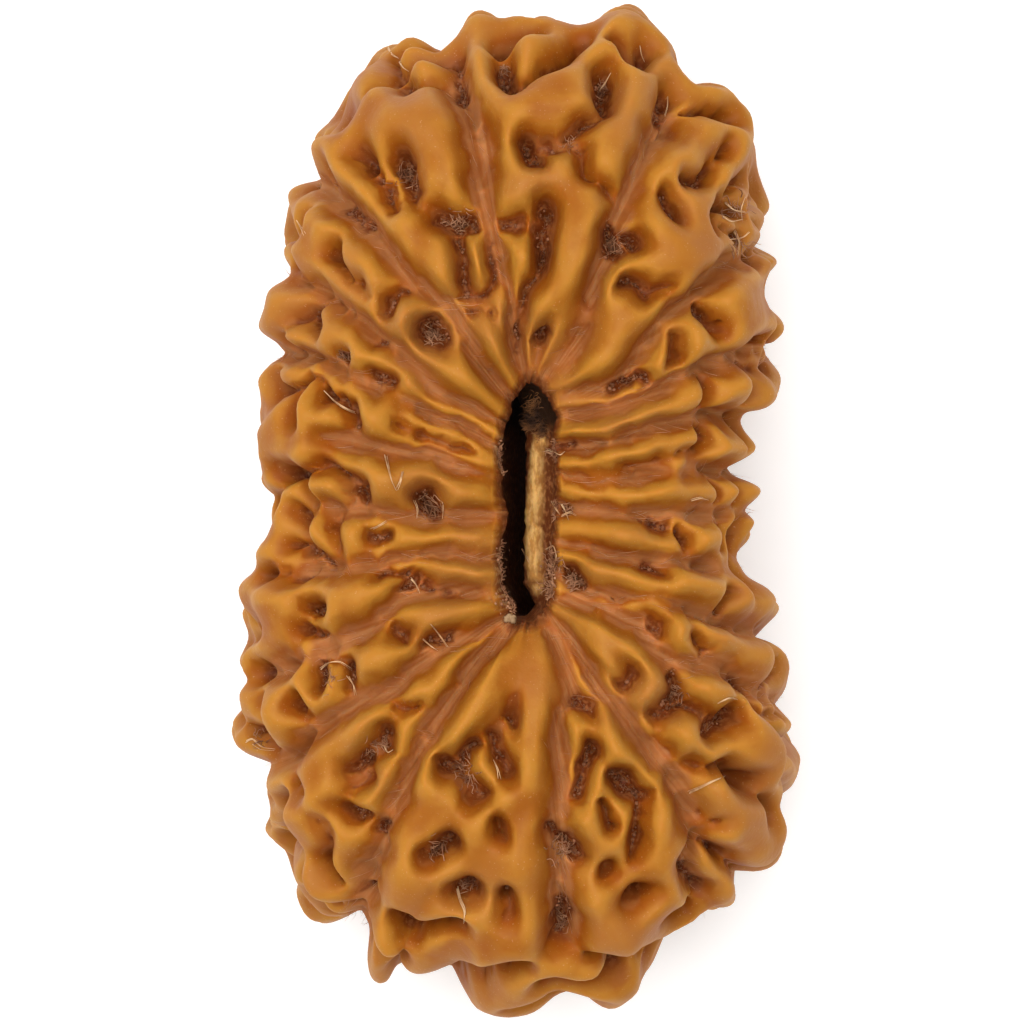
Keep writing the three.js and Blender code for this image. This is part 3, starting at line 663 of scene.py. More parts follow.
def row_of_pits(face, row, k):
    """The pits of one row, as many as its width has room for, shifted in every second row."""
    edges = body_point(across_face(face, np.array([0, 1])), row[0])
    count = max(1, math.floor(np.linalg.norm(edges[0] - edges[1]) / PIT_STEP + 0.5))
    stagger = STAGGER if k % 2 else -STAGGER
    draw = draws_from(face * FACES + k)
    pits = []
    for j in range(count):
        across = (j + 0.5 + stagger + LOOSENESS * (draw() - 0.5)) / count
        inner = 0 < j < count - 1
        beside = across + np.sign(stagger) / (2 * count) if inner else math.floor(across + 0.5)
        pits.append(side_pit(face, row, across, beside, draw))
    return pits


every_pit = [
    pit for face in range(FACES) for k, row in enumerate(pit_rows(face)) for pit in row_of_pits(face, row, k)
]
print(len(every_pit), "pits laid out")

# %% The pits that keep clear of what was read off
PIT_CLEARANCE = 0.75


def edge_distance(points, path, radii, softness=0.0):
    """Distance from each point to the edge of a furrow's floor; below 0 over the floor. With some
    softness there is no crease down the middle of the floor."""
    least = np.full(len(points), np.inf)
    for k in range(len(path) - 1):
        leg = path[k + 1] - path[k]
        arm = points - path[k]
        share = np.clip(arm @ leg / max(leg @ leg, 1e-9), 0, 1)
        squared = ((arm - share[:, None] * leg) ** 2).sum(1)
        gap = np.sqrt(squared + softness**2) - softness
        least = np.minimum(least, gap - radii[k] - (radii[k + 1] - radii[k]) * share)
    return least


pits = [
    pit for pit in every_pit
    if all(edge_distance(pit[0][1][None], *one[:2])[0] > PIT_CLEARANCE for one in upper)
]
print(len(pits), "pits made up")

# %% [markdown]
# ## What the furrows leave
#
# At each point every furrow nearby takes its share of the ridge away, which leaves crests that
# are round on top and steep at their feet. Their edges are ragged on a real seed, so a little
# unevenness moves them. Most wide furrows are pits full of dark dried pulp. A few are swept
# clean, and narrow furrows are clean grooves.

# %% The share that is left
BANK_REACH = 4
FLOOR_SOFTNESS = 0.07
RAGGED = [(1.25, 0.06, 2.7), (0.6, 0.045, 0.9)]


def carved(points, furrows):
    """The share of the ridge that the furrows leave, and the distance to the nearest edge."""
    left = np.ones(len(points))
    nearest = np.full(len(points), BANK_REACH * SEAM_BANK)
    ragged = layered(points, RAGGED)
    for path, radii, bank in furrows:
        reach = BANK_REACH * bank
        inside = (points > path.min(0) - reach) & (points < path.max(0) + reach)
        which = np.where(inside.all(1))[0]
        if len(which):
            distance = edge_distance(points[which], path, radii, FLOOR_SOFTNESS) + ragged[which]
            left[which] *= 1 - np.exp(-((np.maximum(distance, 0) / bank) ** 2))
            nearest[which] = np.minimum(nearest[which], distance)
    return left, nearest


sampled = upper_points[::8, ::8].reshape(-1, 3)
print("share of the ridges that the seams leave:", round(float(carved(sampled, seams)[0].mean()), 2))

# %% Dark pits and clean grooves
# Where a wide pit starts that the brush has swept clean, in pixels.
SWEPT = [
    (607, 862), (597, 873), (726, 773), (673, 343), (275, 573), (499, 822), (653, 135), (392, 430),
    (478, 130),
]
SWEPT_REACH = 0.5


def is_dark(furrow):
    """Whether a furrow is a wide one that keeps its dark pulp."""
    if furrow[1].max() <= GROOVE * MM_PER_PIXEL + WALL:
        return False
    return not any(np.abs(furrow[0][0, :2] - in_plan(x, y)).max() < SWEPT_REACH for x, y in SWEPT)


dark = [furrow for furrow in upper + pits if is_dark(furrow)]
clean = [furrow for furrow in upper + pits if not is_dark(furrow)]
print(len(dark), "dark pits,", len(clean), "clean grooves and pits")

# %% [markdown]
# ## Fat, waxy ridges
#
# The ridges of a real seed are fat: their tops are domed, and edges look as if wax had run over
# them. So narrow ridges stand lower than broad ones, which a wide blur of what is left tells, and
# later the finished points are blurred a little along the skin, less in the seams and pits, which
# stay crisp.

# %% Blurring along the skin
def blurred(grid, reach):
    """Each value becomes the average of its neighbourhood, three times over. The rings close on
    themselves; the first and the last ring stay what they are."""
    columns, rows = reach
    for _ in range(3):
        grid = sum(np.roll(grid, step, 1) for step in range(-columns, columns + 1)) / (2 * columns + 1)
        ends = [(rows, rows)] + [(0, 0)] * (grid.ndim - 1)
        padded = np.pad(grid, ends, "edge")
        grid = sum(padded[step:step + len(grid)] for step in range(2 * rows + 1)) / (2 * rows + 1)
    return grid


single = np.zeros((9, 9))
single[4, 4] = 1
print("one point of 1 blurs down to", round(float(blurred(single, (1, 1)).max()), 3))

# %% [markdown]
# ## How high the skin stands
#
# The distances to the furrows also tell what the surface looks like there: a seam is dusty with
# pulp that dried in it, a pit is dark and crumbly, and a crest is clean wax. So they are kept as
# masks beside the height, and the finish reads them later.

# %% The relief and its masks
RIDGE = 1.6
ROUNDNESS = 0.5
RIM_SHARE = 0.62
RIM_REACH = 4.0
SWELLS = [(5.1, 0.14, 1.0), (2.1, 0.15, 0.5), (1.05, 0.07, 1.4)]
DOME = (0.62, 0.42)
DOME_REACH = (5, 5)
PIT_FALL = 3.0
PIT_START = 0.4
DARK_SOFTNESS = 0.3
DUST_WIDTH = 0.19
CRUMBS = [(0.31, 0.06, 0.7), (0.17, 0.05, 2.2)]


def relief(points, shape):
    """How high the skin stands over each point of the body, and the masks there."""
    looked_up = wandered(points)
    seam_left, to_seam = carved(looked_up, seams)
    dark_left, to_dark = carved(looked_up, dark)
    clean_left, to_clean = carved(looked_up, clean)
    left = (seam_left * dark_left * clean_left) ** ROUNDNESS
    dome = DOME[0] + DOME[1] * blurred(left.reshape(shape), DOME_REACH).ravel()
    rim = 1 - (1 - RIM_SHARE) * np.exp(-((points[:, 2] / RIM_REACH) ** 2))
    floor = np.minimum(np.minimum(to_seam, to_dark), np.minimum(to_clean, 0))
    pit = np.clip(PIT_START - to_dark / DARK_SOFTNESS, 0, 1)
    height = RIDGE * rim * (1 + layered(points, SWELLS)) * dome * left
    height += PIT_FALL * floor + layered(points, CRUMBS) * pit
    dust = np.exp(-((np.maximum(to_seam, 0) / DUST_WIDTH) ** 2))
    return height, {"crest": left, "dust": dust, "pit": pit}


sampled = upper_points[::4, ::4]
print("relief on the upper half, mm:", np.round(
    np.percentile(relief(sampled.reshape(-1, 3), sampled.shape[:2])[0], (5, 50, 95)), 2
))

# %% [markdown]
# ## Crests and hollows
#
# The finish paints the edges of crests paler, a painted highlight, and the hollows a deeper and
# darker orange, painted shade. What tells an edge is how far a point stands out from the average
# of the surface round it, on whichever wall that is. Two reaches give two masks: one for the edges
# of crests, and one for whole knobs.

# %% How far the skin stands out
def standing_out(points, facing, weights, reach):
    """How far each point stands out from the average of the surface near it: 0.5 is level, more
    is a crest, less is a hollow. The space is cut into cells, and every cell holds the sum of
    what lies in it and round it."""
    low = points.min(0) - 3 * reach
    cells = ((points - low) / reach).astype(int)
    shape = tuple(cells.max(0) + 4)
    flat = np.ravel_multi_index(cells.T, shape)
    sums = []
    for value in (weights, *(weights * points.T)):
        grid = np.bincount(flat, value, math.prod(shape)).reshape(shape)
        for axis in (0, 1, 2):
            grid = np.roll(grid, 1, axis) + 2 * grid + np.roll(grid, -1, axis)
        sums.append(grid)
    place = (points - low) / reach - 0.5
    corner = np.floor(place).astype(int)
    share = place - corner
    found = np.zeros((4, len(points)))
    for step in np.ndindex(2, 2, 2):
        part = np.prod(np.where(step, share, 1 - share), 1)
        found += part * np.stack([grid[tuple((corner + step).T)] for grid in sums])
    return np.clip(0.5 + ((points - found[1:].T / found[0][:, None]) * facing).sum(1) / reach, 0, 1)


STANDING = {"edge": 0.32, "knob": 0.8}


def standing_masks(outside):
    """A mask for each reach, in millimetres, over rings of points."""
    facing = np.cross(np.roll(outside, -1, 1) - np.roll(outside, 1, 1), np.gradient(outside, axis=0))
    areas = np.linalg.norm(facing, axis=-1)
    facing = (facing / np.maximum(areas, 1e-12)[..., None]).reshape(-1, 3)
    found = {}
    for name, reach in STANDING.items():
        standing = standing_out(outside.reshape(-1, 3), facing, areas.ravel(), reach)
        found[name] = standing.reshape(areas.shape)
    return found


print("masks of what stands out:", *STANDING)

# %% [markdown]
# ## The stone
#
# A seed with a hole through it is, to a modeller, a ring: a flat grid is added, its vertices are
# laid round the body and back up through the hole, and its edges are merged. A Decimate modifier
# then thins it, because a grid spends as many faces on a smooth crest as on a sharp pit.

# %% The outside
COLUMNS, ROWS, HOLE_ROWS = ((840, 480, 56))
MOUTH_EDGE = 0.42
WAX_REACH = ((2, 3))
WAX_IN_SEAMS = 0.45
WAX_IN_PITS = 0.45


def mouth_rounding(points):
    """Ridges round off towards the two mouths."""
    upper_gap = np.linalg.norm(points - points[0], axis=-1)
    lower_gap = np.linalg.norm(points - points[-1], axis=-1)
    edge = 1 - np.clip(np.minimum(upper_gap, lower_gap) / MOUTH_EDGE, 0, 1)
    return np.sqrt(1 - edge * edge)


def waxy_outside():
    """Rings of points from the upper mouth over the rim to the lower mouth, with their masks."""
    body, flutes, rises = body_grid(COLUMNS, ROWS, np.pi)
    height, masks = relief(body.reshape(-1, 3), body.shape[:2])
    rounding = mouth_rounding(body)
    masks = {name: mask.reshape(rounding.shape) for name, mask in masks.items()}
    masks["crest"] = masks["crest"] * rounding
    outside = body + flutes + rises * (height.reshape(rounding.shape) * rounding)[..., None]
    waxed = (1 - WAX_IN_PITS * masks["pit"]) * (WAX_IN_SEAMS + (1 - WAX_IN_SEAMS) * masks["crest"])
    outside += (blurred(outside, WAX_REACH) - outside) * (waxed * rounding)[..., None]
    return outside, masks


outside, masks = waxy_outside()
print("outside, mm before it is set down:", np.round(np.ptp(outside.reshape(-1, 3), axis=0), 2))

# %% [markdown]
# ## The lips of the slit
#
# The mouth of a thread hole tears when the seed is cleaned and strung. Its lips are ragged, and
# the left one bulges over the slit at two places. A modeller could pull them about by hand with
# proportional editing. Here a falloff from the lip does the same to rings that are already even.

# %% Torn lips
HOLE_CENTRE = (528, 503)
TORN = [(0.9, 0.06), (0.35, 0.03)]
TORN_PHASE = 0.4
TORN_REACH = 0.5
# Where the left lip bulges: on y and how wide, in pixels, and how far in millimetres.
LIP_BULGES = [(514, 17, 0.3), (603, 11, 0.3)]


def on_left_lip(rings):
    """Whether each column starts on the left lip."""
    return rings[0, :, 0] < in_plan(*HOLE_CENTRE)[0]


def along_lip(rings, y, wide):
    """How many half-widths of a place on y each column's lip is away from it."""
    return (rings[0, :, 1] - in_plan(0, y)[1]) / (wide * MM_PER_PIXEL)


to_lip = np.linalg.norm(outside - outside[0], axis=-1)
near_lip = np.exp(-((to_lip / TORN_REACH) ** 2))
for wavelength, reach in TORN:
    outside[..., 0] += reach * unevenness(outside, wavelength, TORN_PHASE) * near_lip
bulging = on_left_lip(outside) * near_lip
for y, wide, reach in LIP_BULGES:
    outside[..., 0] += reach * bulging * np.exp(-(along_lip(outside, y, wide) ** 2))
masks.update(standing_masks(outside))
for name in STANDING:
    print(name, np.round(np.percentile(masks[name], (1, 5, 20, 50, 80, 95, 99)), 2))

# %% [markdown]
# ## The thread hole
#
# The hole is natural: it narrows below each mouth, and it bends, so that no light comes through.
# The upper neck lies to the left, which leaves the right-hand wall in view. Only at the slit's
# lower end does it go almost straight down, and that shows as a black pocket.

# %% The wall of the hole
HOLE_NECK_DEPTH = 2.4
HOLE_NECK_WIDTH = 0.6
HOLE_NECK_LENGTH = 0.95
HOLE_NECK_SHIFT = -0.74
NECK_RAGGED = [(0.8, 0.06, 2.3), (0.3, 0.03, 2.3)]
# The pocket: its own shift, and where on y it is reached from the neck's.
POCKET_SHIFT = -0.15
POCKET_FROM = (582, 604)
SMOOTH_WAVES = 12
SMOOTH_DEPTH = 0.3


def without_teeth(mouth):
    """A mouth with only its broad bends left."""
    waves = np.fft.rfft(mouth, axis=0)
    waves *= np.exp(-((np.arange(len(waves)) / SMOOTH_WAVES) ** 2))[:, None]
    return np.fft.irfft(waves, len(mouth), axis=0)


def neck_shift(mouth, y):
    """How far the upper neck lies to the left, at places on y."""
    ends = [in_plan(0, end)[1] for end in POCKET_FROM[::-1]]
    shift = np.interp(y, ends, (POCKET_SHIFT, HOLE_NECK_SHIFT))
    return shift + layered(mouth * (0, 1, 0), NECK_RAGGED)


def hole_ring(upper_mouth, lower_mouth, share):
    """One ring of the hole's wall, a share of the way down from the upper mouth."""
    middle = in_plan(*HOLE_CENTRE)
    depth = (upper_mouth[:, 2] - lower_mouth[:, 2]) * min(share, 1 - share)
    smooth = (1 - np.exp(-((depth / SMOOTH_DEPTH) ** 2)))[:, None]
    upper_mouth = upper_mouth + (without_teeth(upper_mouth) - upper_mouth) * smooth
    lower_mouth = lower_mouth + (without_teeth(lower_mouth) - lower_mouth) * smooth
    z = upper_mouth[:, 2] + (lower_mouth[:, 2] - upper_mouth[:, 2]) * share
    near = np.minimum(upper_mouth[:, 2] - z, z - lower_mouth[:, 2])
    t = np.clip(near / HOLE_NECK_DEPTH, 0, 1)
    neck = t * t * (3 - 2 * t)
    x = (upper_mouth[:, 0] - middle[0]) * (1 + (HOLE_NECK_WIDTH - 1) * neck) + middle[0]
    y = (upper_mouth[:, 1] - middle[1]) * (1 + (HOLE_NECK_LENGTH - 1) * neck) + middle[1]
    side = math.cos(math.pi * share)
    shift = neck_shift(upper_mouth, y) if side > 0 else HOLE_NECK_SHIFT
    return np.stack([x + shift * neck * side, y, z], -1)


down = 0.5 - 0.5 * np.cos(np.pi * np.arange(HOLE_ROWS, -1, -1) / HOLE_ROWS)
inside = np.stack([hole_ring(outside[0], outside[-1], share) for share in down])
rings = np.concatenate([outside, inside[1:]])
neck = inside[np.abs(inside[:, 0, 2] - outside[0, 0, 2] + HOLE_NECK_DEPTH).argmin()]
print("upper neck, mm:", np.round(np.ptp(neck[:, :2], axis=0), 2))

# %% [markdown]
# ## What the slit shows
#
# On the right-hand wall the wood lies bare, bright and long-grained. Above it the wall is dark
# with soot, and the left lip is torn to pale fibre at two places. Each is a mask with ragged
# edges, in pixels of the photograph, and the finish paints it.

# %% Bare wood, torn wood and soot
# The left and the right edge of the bare wood: places on x, and where on y they are.
BARE_LEFT = ((531, 526, 521, 522, 530), (430, 480, 520, 556, 596))
BARE_RIGHT = ((545, 543, 539, 541, 543), (430, 480, 520, 556, 596))
BARE_RAGGED = [(1.1, 0.06, 1.9), (0.33, 0.04, 1.9)]
BARE_FADE = {"left": 0.16, "right": 0.1, "ends": 0.3}
# Where the left lip is torn to pale fibre: on y, how wide, and how much.
TORN_PALE = [(455, 18, 0.7), (578, 36, 1.0)]
TORN_WIDTH = 0.2
SOOT_FROM = 438
SOOT_DEPTH = 0.5


def bare_wood(rings):
    """Where the wood of the hole's right-hand wall lies bare, below the upper mouth."""
    x, y, z = np.moveaxis(rings, -1, 0)
    lefts = np.array([in_plan(*place) for place in zip(*BARE_LEFT)])[::-1]
    rights = np.array([in_plan(*place) for place in zip(*BARE_RIGHT)])[::-1]
    ragged = layered(rings * (0, 1, 0), BARE_RAGGED)
    left, right = (np.interp(y, edge[:, 1], edge[:, 0]) + ragged for edge in (lefts, rights))
    found = np.clip((x - left) / BARE_FADE["left"], 0, 1) * np.clip((right - x) / BARE_FADE["right"], 0, 1)
    for inwards in (lefts[-1, 1] - y, y - lefts[0, 1]):
        found = found * np.clip(inwards / BARE_FADE["ends"], 0, 1)
    return found * (z > 0)


def torn_wood(rings):
    """Where the left lip is torn to pale fibre."""
    found = np.zeros(rings.shape[:2])
    for y, wide, strength in TORN_PALE:
        fall = (to_lip / TORN_WIDTH) ** 2 + along_lip(rings, y, wide) ** 4
        found[:ROWS + 1] += strength * on_left_lip(rings) * np.exp(-fall)
    return found


masks = {name: np.concatenate([mask, np.zeros((HOLE_ROWS, COLUMNS))]) for name, mask in masks.items()}
wall = np.zeros(rings.shape[:2])
wall[ROWS + 1:] = wall[0] = wall[ROWS] = 1
masks["hole"] = wall
masks["bare_wood"] = bare_wood(rings) * wall
masks["torn"] = torn_wood(rings)
masks["soot"] = np.clip((rings[..., 1] - in_plan(0, SOOT_FROM)[1]) / SOOT_DEPTH, 0, 1) * wall
masks["soot"][[0, -1]] = 0
print("masks:", *masks)

# %% [markdown]
# ## From a flat grid to a closed stone
#
# The grid's vertices lie row by row, so the rings can be laid on them in one step. The masks go
# with them as attributes, and so does a grain that runs along the seams. Then the edges are
# merged, the normals are turned outwards, and the modifier thins the faces.

# %% Laying the rings on the grid
def lay_on_grid(stone, rings, masks):
    """Gives the grid's vertices their places and masks; its last row and column repeat the first."""
    wrap = np.concatenate([rings, rings[:, :1]], 1)
    stone.data.vertices.foreach_set("co", wrap.astype(np.float32).ravel())
    for name, mask in masks.items():
        values = np.concatenate([mask, mask[:, :1]], 1).astype(np.float32)
        stone.data.attributes.new(name, "FLOAT", "POINT").data.foreach_set("value", values.ravel())
    turn = 2 * np.pi * np.arange(COLUMNS + 1) / COLUMNS
    row = np.arange(len(rings))[:, None] * np.pi / ROWS
    grain = np.stack(np.broadcast_arrays(np.cos(turn)[None], np.sin(turn)[None], row), -1)
    attribute = stone.data.attributes.new("grain", "FLOAT_VECTOR", "POINT")
    attribute.data.foreach_set("vector", grain.astype(np.float32).ravel())


bpy.ops.mesh.primitive_grid_add(
    x_subdivisions=COLUMNS, y_subdivisions=len(rings) - 1, size=2, calc_uvs=False
)
stone = bpy.context.object
stone.name = stone.data.name = "stone"
lay_on_grid(stone, rings, masks)
print("stone:", len(stone.data.vertices), "vertices on the grid")

# %% Closing and thinning the stone
STONE_TRIANGLES = 192000
MERGE_DISTANCE = 0.0005

bpy.ops.object.mode_set(mode="EDIT")
bpy.ops.mesh.select_all(action="SELECT")
bpy.ops.mesh.remove_doubles(threshold=MERGE_DISTANCE)
bpy.ops.mesh.normals_make_consistent(inside=False)
bpy.ops.object.mode_set(mode="OBJECT")
thinning = stone.modifiers.new("thinning", "DECIMATE")
thinning.ratio = STONE_TRIANGLES / (2 * len(stone.data.polygons))
bpy.ops.object.modifier_apply(modifier=thinning.name)
bpy.ops.object.shade_smooth()
print("stone:", len(stone.data.vertices), "vertices,", len(stone.data.polygons), "faces")

# %% [markdown]
# ## Standing on the ground
#
# The seed lies on its lower pole, where the outermost knobs are worn to small flats. It is brought
# to its length, its lowest knobs are cut flat, and it is set down in the middle of the packed
# part's box. What is added later is built in the same places and goes down with it, so the step
# is kept as a function.

# %% Setting down
FOOT_CUT = 0.45

corners = np.array([vertex.co for vertex in stone.data.vertices])
low, high = corners.min(0), corners.max(0)
SCALE = LENGTH / (high[1] - low[1])
GROUND = low[2] * SCALE + FOOT_CUT
MIDDLE = (low + high)[:2] / 2 * SCALE


def set_down(piece):
    """Takes a piece from its place in the photograph to its place in metres."""
    points = np.array([vertex.co for vertex in piece.data.vertices]) * SCALE
    points[:, :2] -= MIDDLE
    points[:, 2] = np.maximum(points[:, 2] - GROUND, 0)
    piece.data.vertices.foreach_set("co", (points / 1000).astype(np.float32).ravel())
    piece.data.update()
    return piece


stone_surface = BVHTree.FromPolygons(
    [vertex.co.copy() for vertex in stone.data.vertices],
    [tuple(face.vertices) for face in stone.data.polygons],
)
set_down(stone)
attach(stone, "root")
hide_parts("rudraksha_stone")
print("stone, mm:", np.round((high - low) * SCALE, 2))
print("packed stone, mm:", np.round(1000 * np.array(STONE_HIGH - STONE_LOW), 2))

# %% Looking a place up on the stone
RAY_HEIGHT = 40


def surface_at(x, y):
    """The stone's surface that shows at a pixel of the photograph, and its normal there."""
    start = Vector((*in_plan(x, y), RAY_HEIGHT))
    hit, normal, *_ = stone_surface.ray_cast(start, Vector((0, 0, -1)))
    return hit, normal


print("height at the middle of the left lip, mm:", round(surface_at(495, 500)[0].z, 2))

# %% [markdown]
# ## The waxy finish
#
# Handling and oil give the crests an amber skin that light enters a little way and leaves again,
# so the finish scatters light under its surface. The stone's masks mix its colours: a deep orange
# painted on the flanks as painted shade, amber on the crests with a paler painted highlight on
# their edges, darker painted shade in the deepest hollows, pinkish tan where dried pulp lies in
# the seams, and dark brown in the pits. Noise on Object coordinates keeps each of them uneven.
# A few small helpers make the nodes, so that a line of code reads as a line about the finish.

# %% Helpers that make nodes
def linear(red, green, blue):
    """A colour as it looks on screen, from 0 to 255, as the linear values that a shader takes."""
    shares = [value / 255 for value in (red, green, blue)]
    return [s / 12.92 if s <= 0.04045 else ((s + 0.055) / 1.055) ** 2.4 for s in shares] + [1]


def new_finish(name):
    """A material with its node tree and its Principled shader."""
    finish = bpy.data.materials.new(name)
    finish.use_nodes = True
    return finish, finish.node_tree, finish.node_tree.nodes["Principled BSDF"]


def set_or_link(tree, socket, value):
    if isinstance(value, bpy.types.NodeSocket):
        tree.links.new(value, socket)
    else:
        socket.default_value = value


def node(tree, kind, settings=None, **inputs):
    """A node with its settings made and its inputs set or linked."""
    made = tree.nodes.new(kind)
    for name, value in (settings or {}).items():
        setattr(made, name, value)
    for name, value in inputs.items():
        set_or_link(tree, made.inputs[name], value)
    return made


def math_node(tree, operation, first, second):
    made = node(tree, "ShaderNodeMath", {"operation": operation})
    set_or_link(tree, made.inputs[0], first)
    set_or_link(tree, made.inputs[1], second)
    return made.outputs[0]


def plus(tree, first, second):
    return math_node(tree, "ADD", first, second)


def times(tree, first, second):
    return math_node(tree, "MULTIPLY", first, second)


print("amber (160, 97, 24) as a shader takes it:", [round(value, 3) for value in linear(160, 97, 24)])

# %% Helpers that mix colours and read masks
def mixed(tree, share, first, second):
    """Two colours mixed by a share."""
    made = node(tree, "ShaderNodeMix", {"data_type": "RGBA"})
    for socket, value in ((made.inputs[0], share), (made.inputs[6], first), (made.inputs[7], second)):
        set_or_link(tree, socket, value)
    return made.outputs[2]


def ranged(tree, value, low, high, to_low=0.0, to_high=1.0):
    """A value taken softly from one range to another."""
    made = node(tree, "ShaderNodeMapRange", {"interpolation_type": "SMOOTHSTEP"})
    tree.links.new(value, made.inputs[0])
    for socket, number in zip(made.inputs[1:5], (low, high, to_low, to_high)):
        socket.default_value = number
    return made.outputs[0]


def mask(tree, name):
    return node(tree, "ShaderNodeAttribute", {"attribute_name": name}).outputs["Fac"]


def noise(tree, place, scale, detail):
    made = node(tree, "ShaderNodeTexNoise", Vector=place, Scale=scale, Detail=detail)
    return made.outputs["Fac"]


def stretched(tree, place, scale):
    """A place measured with another scale along each axis, so that a noise on it makes streaks."""
    return node(tree, "ShaderNodeMapping", Vector=place, Scale=scale).outputs[0]


def object_place(tree):
    return tree.nodes.new("ShaderNodeTexCoord").outputs["Object"]


print("masks that a finish can read:", *stone.data.attributes.keys())

# %% Uneven growth, as a group
PATCH_SIZES = {"Broad": (260, 2), "Fine": (1100, 3), "Grain": (5200, 2)}


def make_unevenness_group():
    """Patches of three sizes, each about 0.5 on average, in Object coordinates."""
    group = bpy.data.node_groups.new("uneven growth", "ShaderNodeTree")
    for name in PATCH_SIZES:
        group.interface.new_socket(name, in_out="OUTPUT", socket_type="NodeSocketFloat")
    size = group.interface.new_socket("Size", in_out="INPUT", socket_type="NodeSocketFloat")
    size.default_value = 1.0
    inputs = group.nodes.new("NodeGroupInput")
    outputs = group.nodes.new("NodeGroupOutput")
    place = object_place(group)
    for name, (per_metre, detail) in PATCH_SIZES.items():
        scale = math_node(group, "DIVIDE", per_metre, inputs.outputs["Size"])
        group.links.new(noise(group, place, scale, detail), outputs.inputs[name])
    return group


UNEVENNESS = make_unevenness_group()


def add_unevenness(tree, size):
    """The broad, the fine and the grainy patches, at a size that suits the piece."""
    made = tree.nodes.new("ShaderNodeGroup")
    made.node_tree = UNEVENNESS
    made.inputs["Size"].default_value = size
    return [made.outputs[name] for name in PATCH_SIZES]


print("group:", UNEVENNESS.name, "with", len(UNEVENNESS.nodes), "nodes")

# %% [markdown]
# ### The skin between the seams
#
# Each tone covers what lies under it where a mask says so, and most of them only in part. It is
# the way a painter glazes: the deep orange of painted shade goes on first, then amber on what
# stands out, a paler painted highlight on edges, a brownish haze, darker painted shade in the
# hollows, and fine pale specks.

# %% Tones of the skin
CREST = linear(160, 97, 24)
CREST_DEEP = linear(148, 82, 14)
# The edge tone is a painted highlight: the edges of crests are painted paler.
EDGE_HIGHLIGHT = linear(174, 117, 38)
# The flank tone is painted shade: a deeper, darker orange where the skin stands back.
FLANK_SHADE = linear(140, 68, 6)
HAZE = linear(153, 95, 48)
# Painted shade for the deepest hollows.
SHADE = linear(120, 54, 6)
SPECK = linear(196, 150, 104)
SPECKS_PER_METRE = 13000.0
PATCHINESS = 0.3


def skin_colour(tree, place, broad, fine):
    """The colour of crests, flanks and hollows, with a painted highlight on edges and painted shade on
    flanks and in hollows.
    """
    patches = times(tree, math_node(tree, "SUBTRACT", fine, 0.5), PATCHINESS)
    knob = plus(tree, mask(tree, "knob"), patches)
    edge = plus(tree, mask(tree, "edge"), patches)
    specks = noise(tree, place, SPECKS_PER_METRE, 1.0)
    crest = mixed(tree, ranged(tree, broad, 0.35, 0.65), CREST_DEEP, CREST)
    # painted shade: the flank tone wherever the skin stands back from its surroundings
    colour = mixed(tree, ranged(tree, knob, 0.3, 0.62), FLANK_SHADE, crest)
    # Each glaze: what it goes by, where it starts and is full, the most of it, and its tone.
    for value, start, full, most, tone in (
        # painted highlight: the edges of crests painted paler
        (edge, 0.52, 0.92, 1.0, EDGE_HIGHLIGHT),
        (broad, 0.48, 0.68, 0.45, HAZE),
        (knob, 0.42, 0.3, 0.55, HAZE),
        # painted shade: the deepest hollows painted darker
        (edge, 0.3, 0.12, 0.7, SHADE),
        (specks, 0.69, 0.76, 0.4, SPECK),
    ):
        colour = mixed(tree, ranged(tree, value, start, full, 0.0, most), colour, tone)
    return colour


print("from hollow to edge, the red of the skin:", round(SHADE[0], 3), "to", round(EDGE_HIGHLIGHT[0], 3))

# %% [markdown]
# ### Seams, pits and the slit
#
# The pulp in the seams dried in streaks that run along them, so its noise is stretched along the
# grain that the stone carries. The bare wood of the slit has its own long grain. Pits and the
# hole's wall are only dark and uneven.

# %% Tones of seams, pits and slit
DUST = linear(174, 116, 68)
DUST_DEEP = linear(152, 90, 40)
STREAK_SCALE = (42, 42, 1.6)
PIT = linear(100, 42, 8)
PIT_PALE = linear(138, 80, 42)
HOLE = linear(96, 46, 18)
HOLE_PALE = linear(140, 86, 48)
SOOT = linear(40, 23, 12)
BARE = linear(240, 188, 112)
BARE_DEEP = linear(200, 140, 72)
BARE_GRAIN = (7000, 1600, 1600)
TORN_WOOD = linear(190, 146, 100)


def dust_and_streaks(tree, fine):
    """How much dried pulp lies in the seams, and the streaks in it."""
    along = node(tree, "ShaderNodeAttribute", {"attribute_name": "grain"}).outputs["Vector"]
    streaks = noise(tree, stretched(tree, along, STREAK_SCALE), 1.0, 3.0)
    dust = ranged(tree, plus(tree, mask(tree, "dust"), times(tree, fine, 0.5)), 0.62, 1.3, 0.0, 0.72)
    return dust, streaks


def slit_colour(tree, place, grain, colour):
    """The hole's wall, the torn lip, the bare wood and the soot, over the colour of the rest."""
    wall = mixed(tree, ranged(tree, grain, 0.45, 0.7), HOLE, HOLE_PALE)
    colour = mixed(tree, mask(tree, "hole"), colour, wall)
    cuts = noise(tree, stretched(tree, place, BARE_GRAIN), 1.0, 3.0)
    cuts = plus(tree, times(tree, cuts, 0.6), times(tree, grain, 0.4))
    bare = mixed(tree, ranged(tree, cuts, 0.4, 0.62), BARE_DEEP, BARE)
    torn = times(tree, mask(tree, "torn"), ranged(tree, grain, 0.4, 0.56))
    colour = mixed(tree, torn, colour, TORN_WOOD)
    colour = mixed(tree, mask(tree, "bare_wood"), colour, bare)
    return mixed(tree, mask(tree, "soot"), colour, SOOT)


print("from soot to bare wood, the red of the slit:", round(SOOT[0], 3), "to", round(BARE[0], 3))

# %% The stone's finish
SKIN_GLOSS = 0.15
SKIN_SCATTER = 0.75
SKIN_DEPTH = 0.00035
SKIN_TINT = (1.0, 0.56, 0.22)
BUMP_HEIGHT = 0.00012


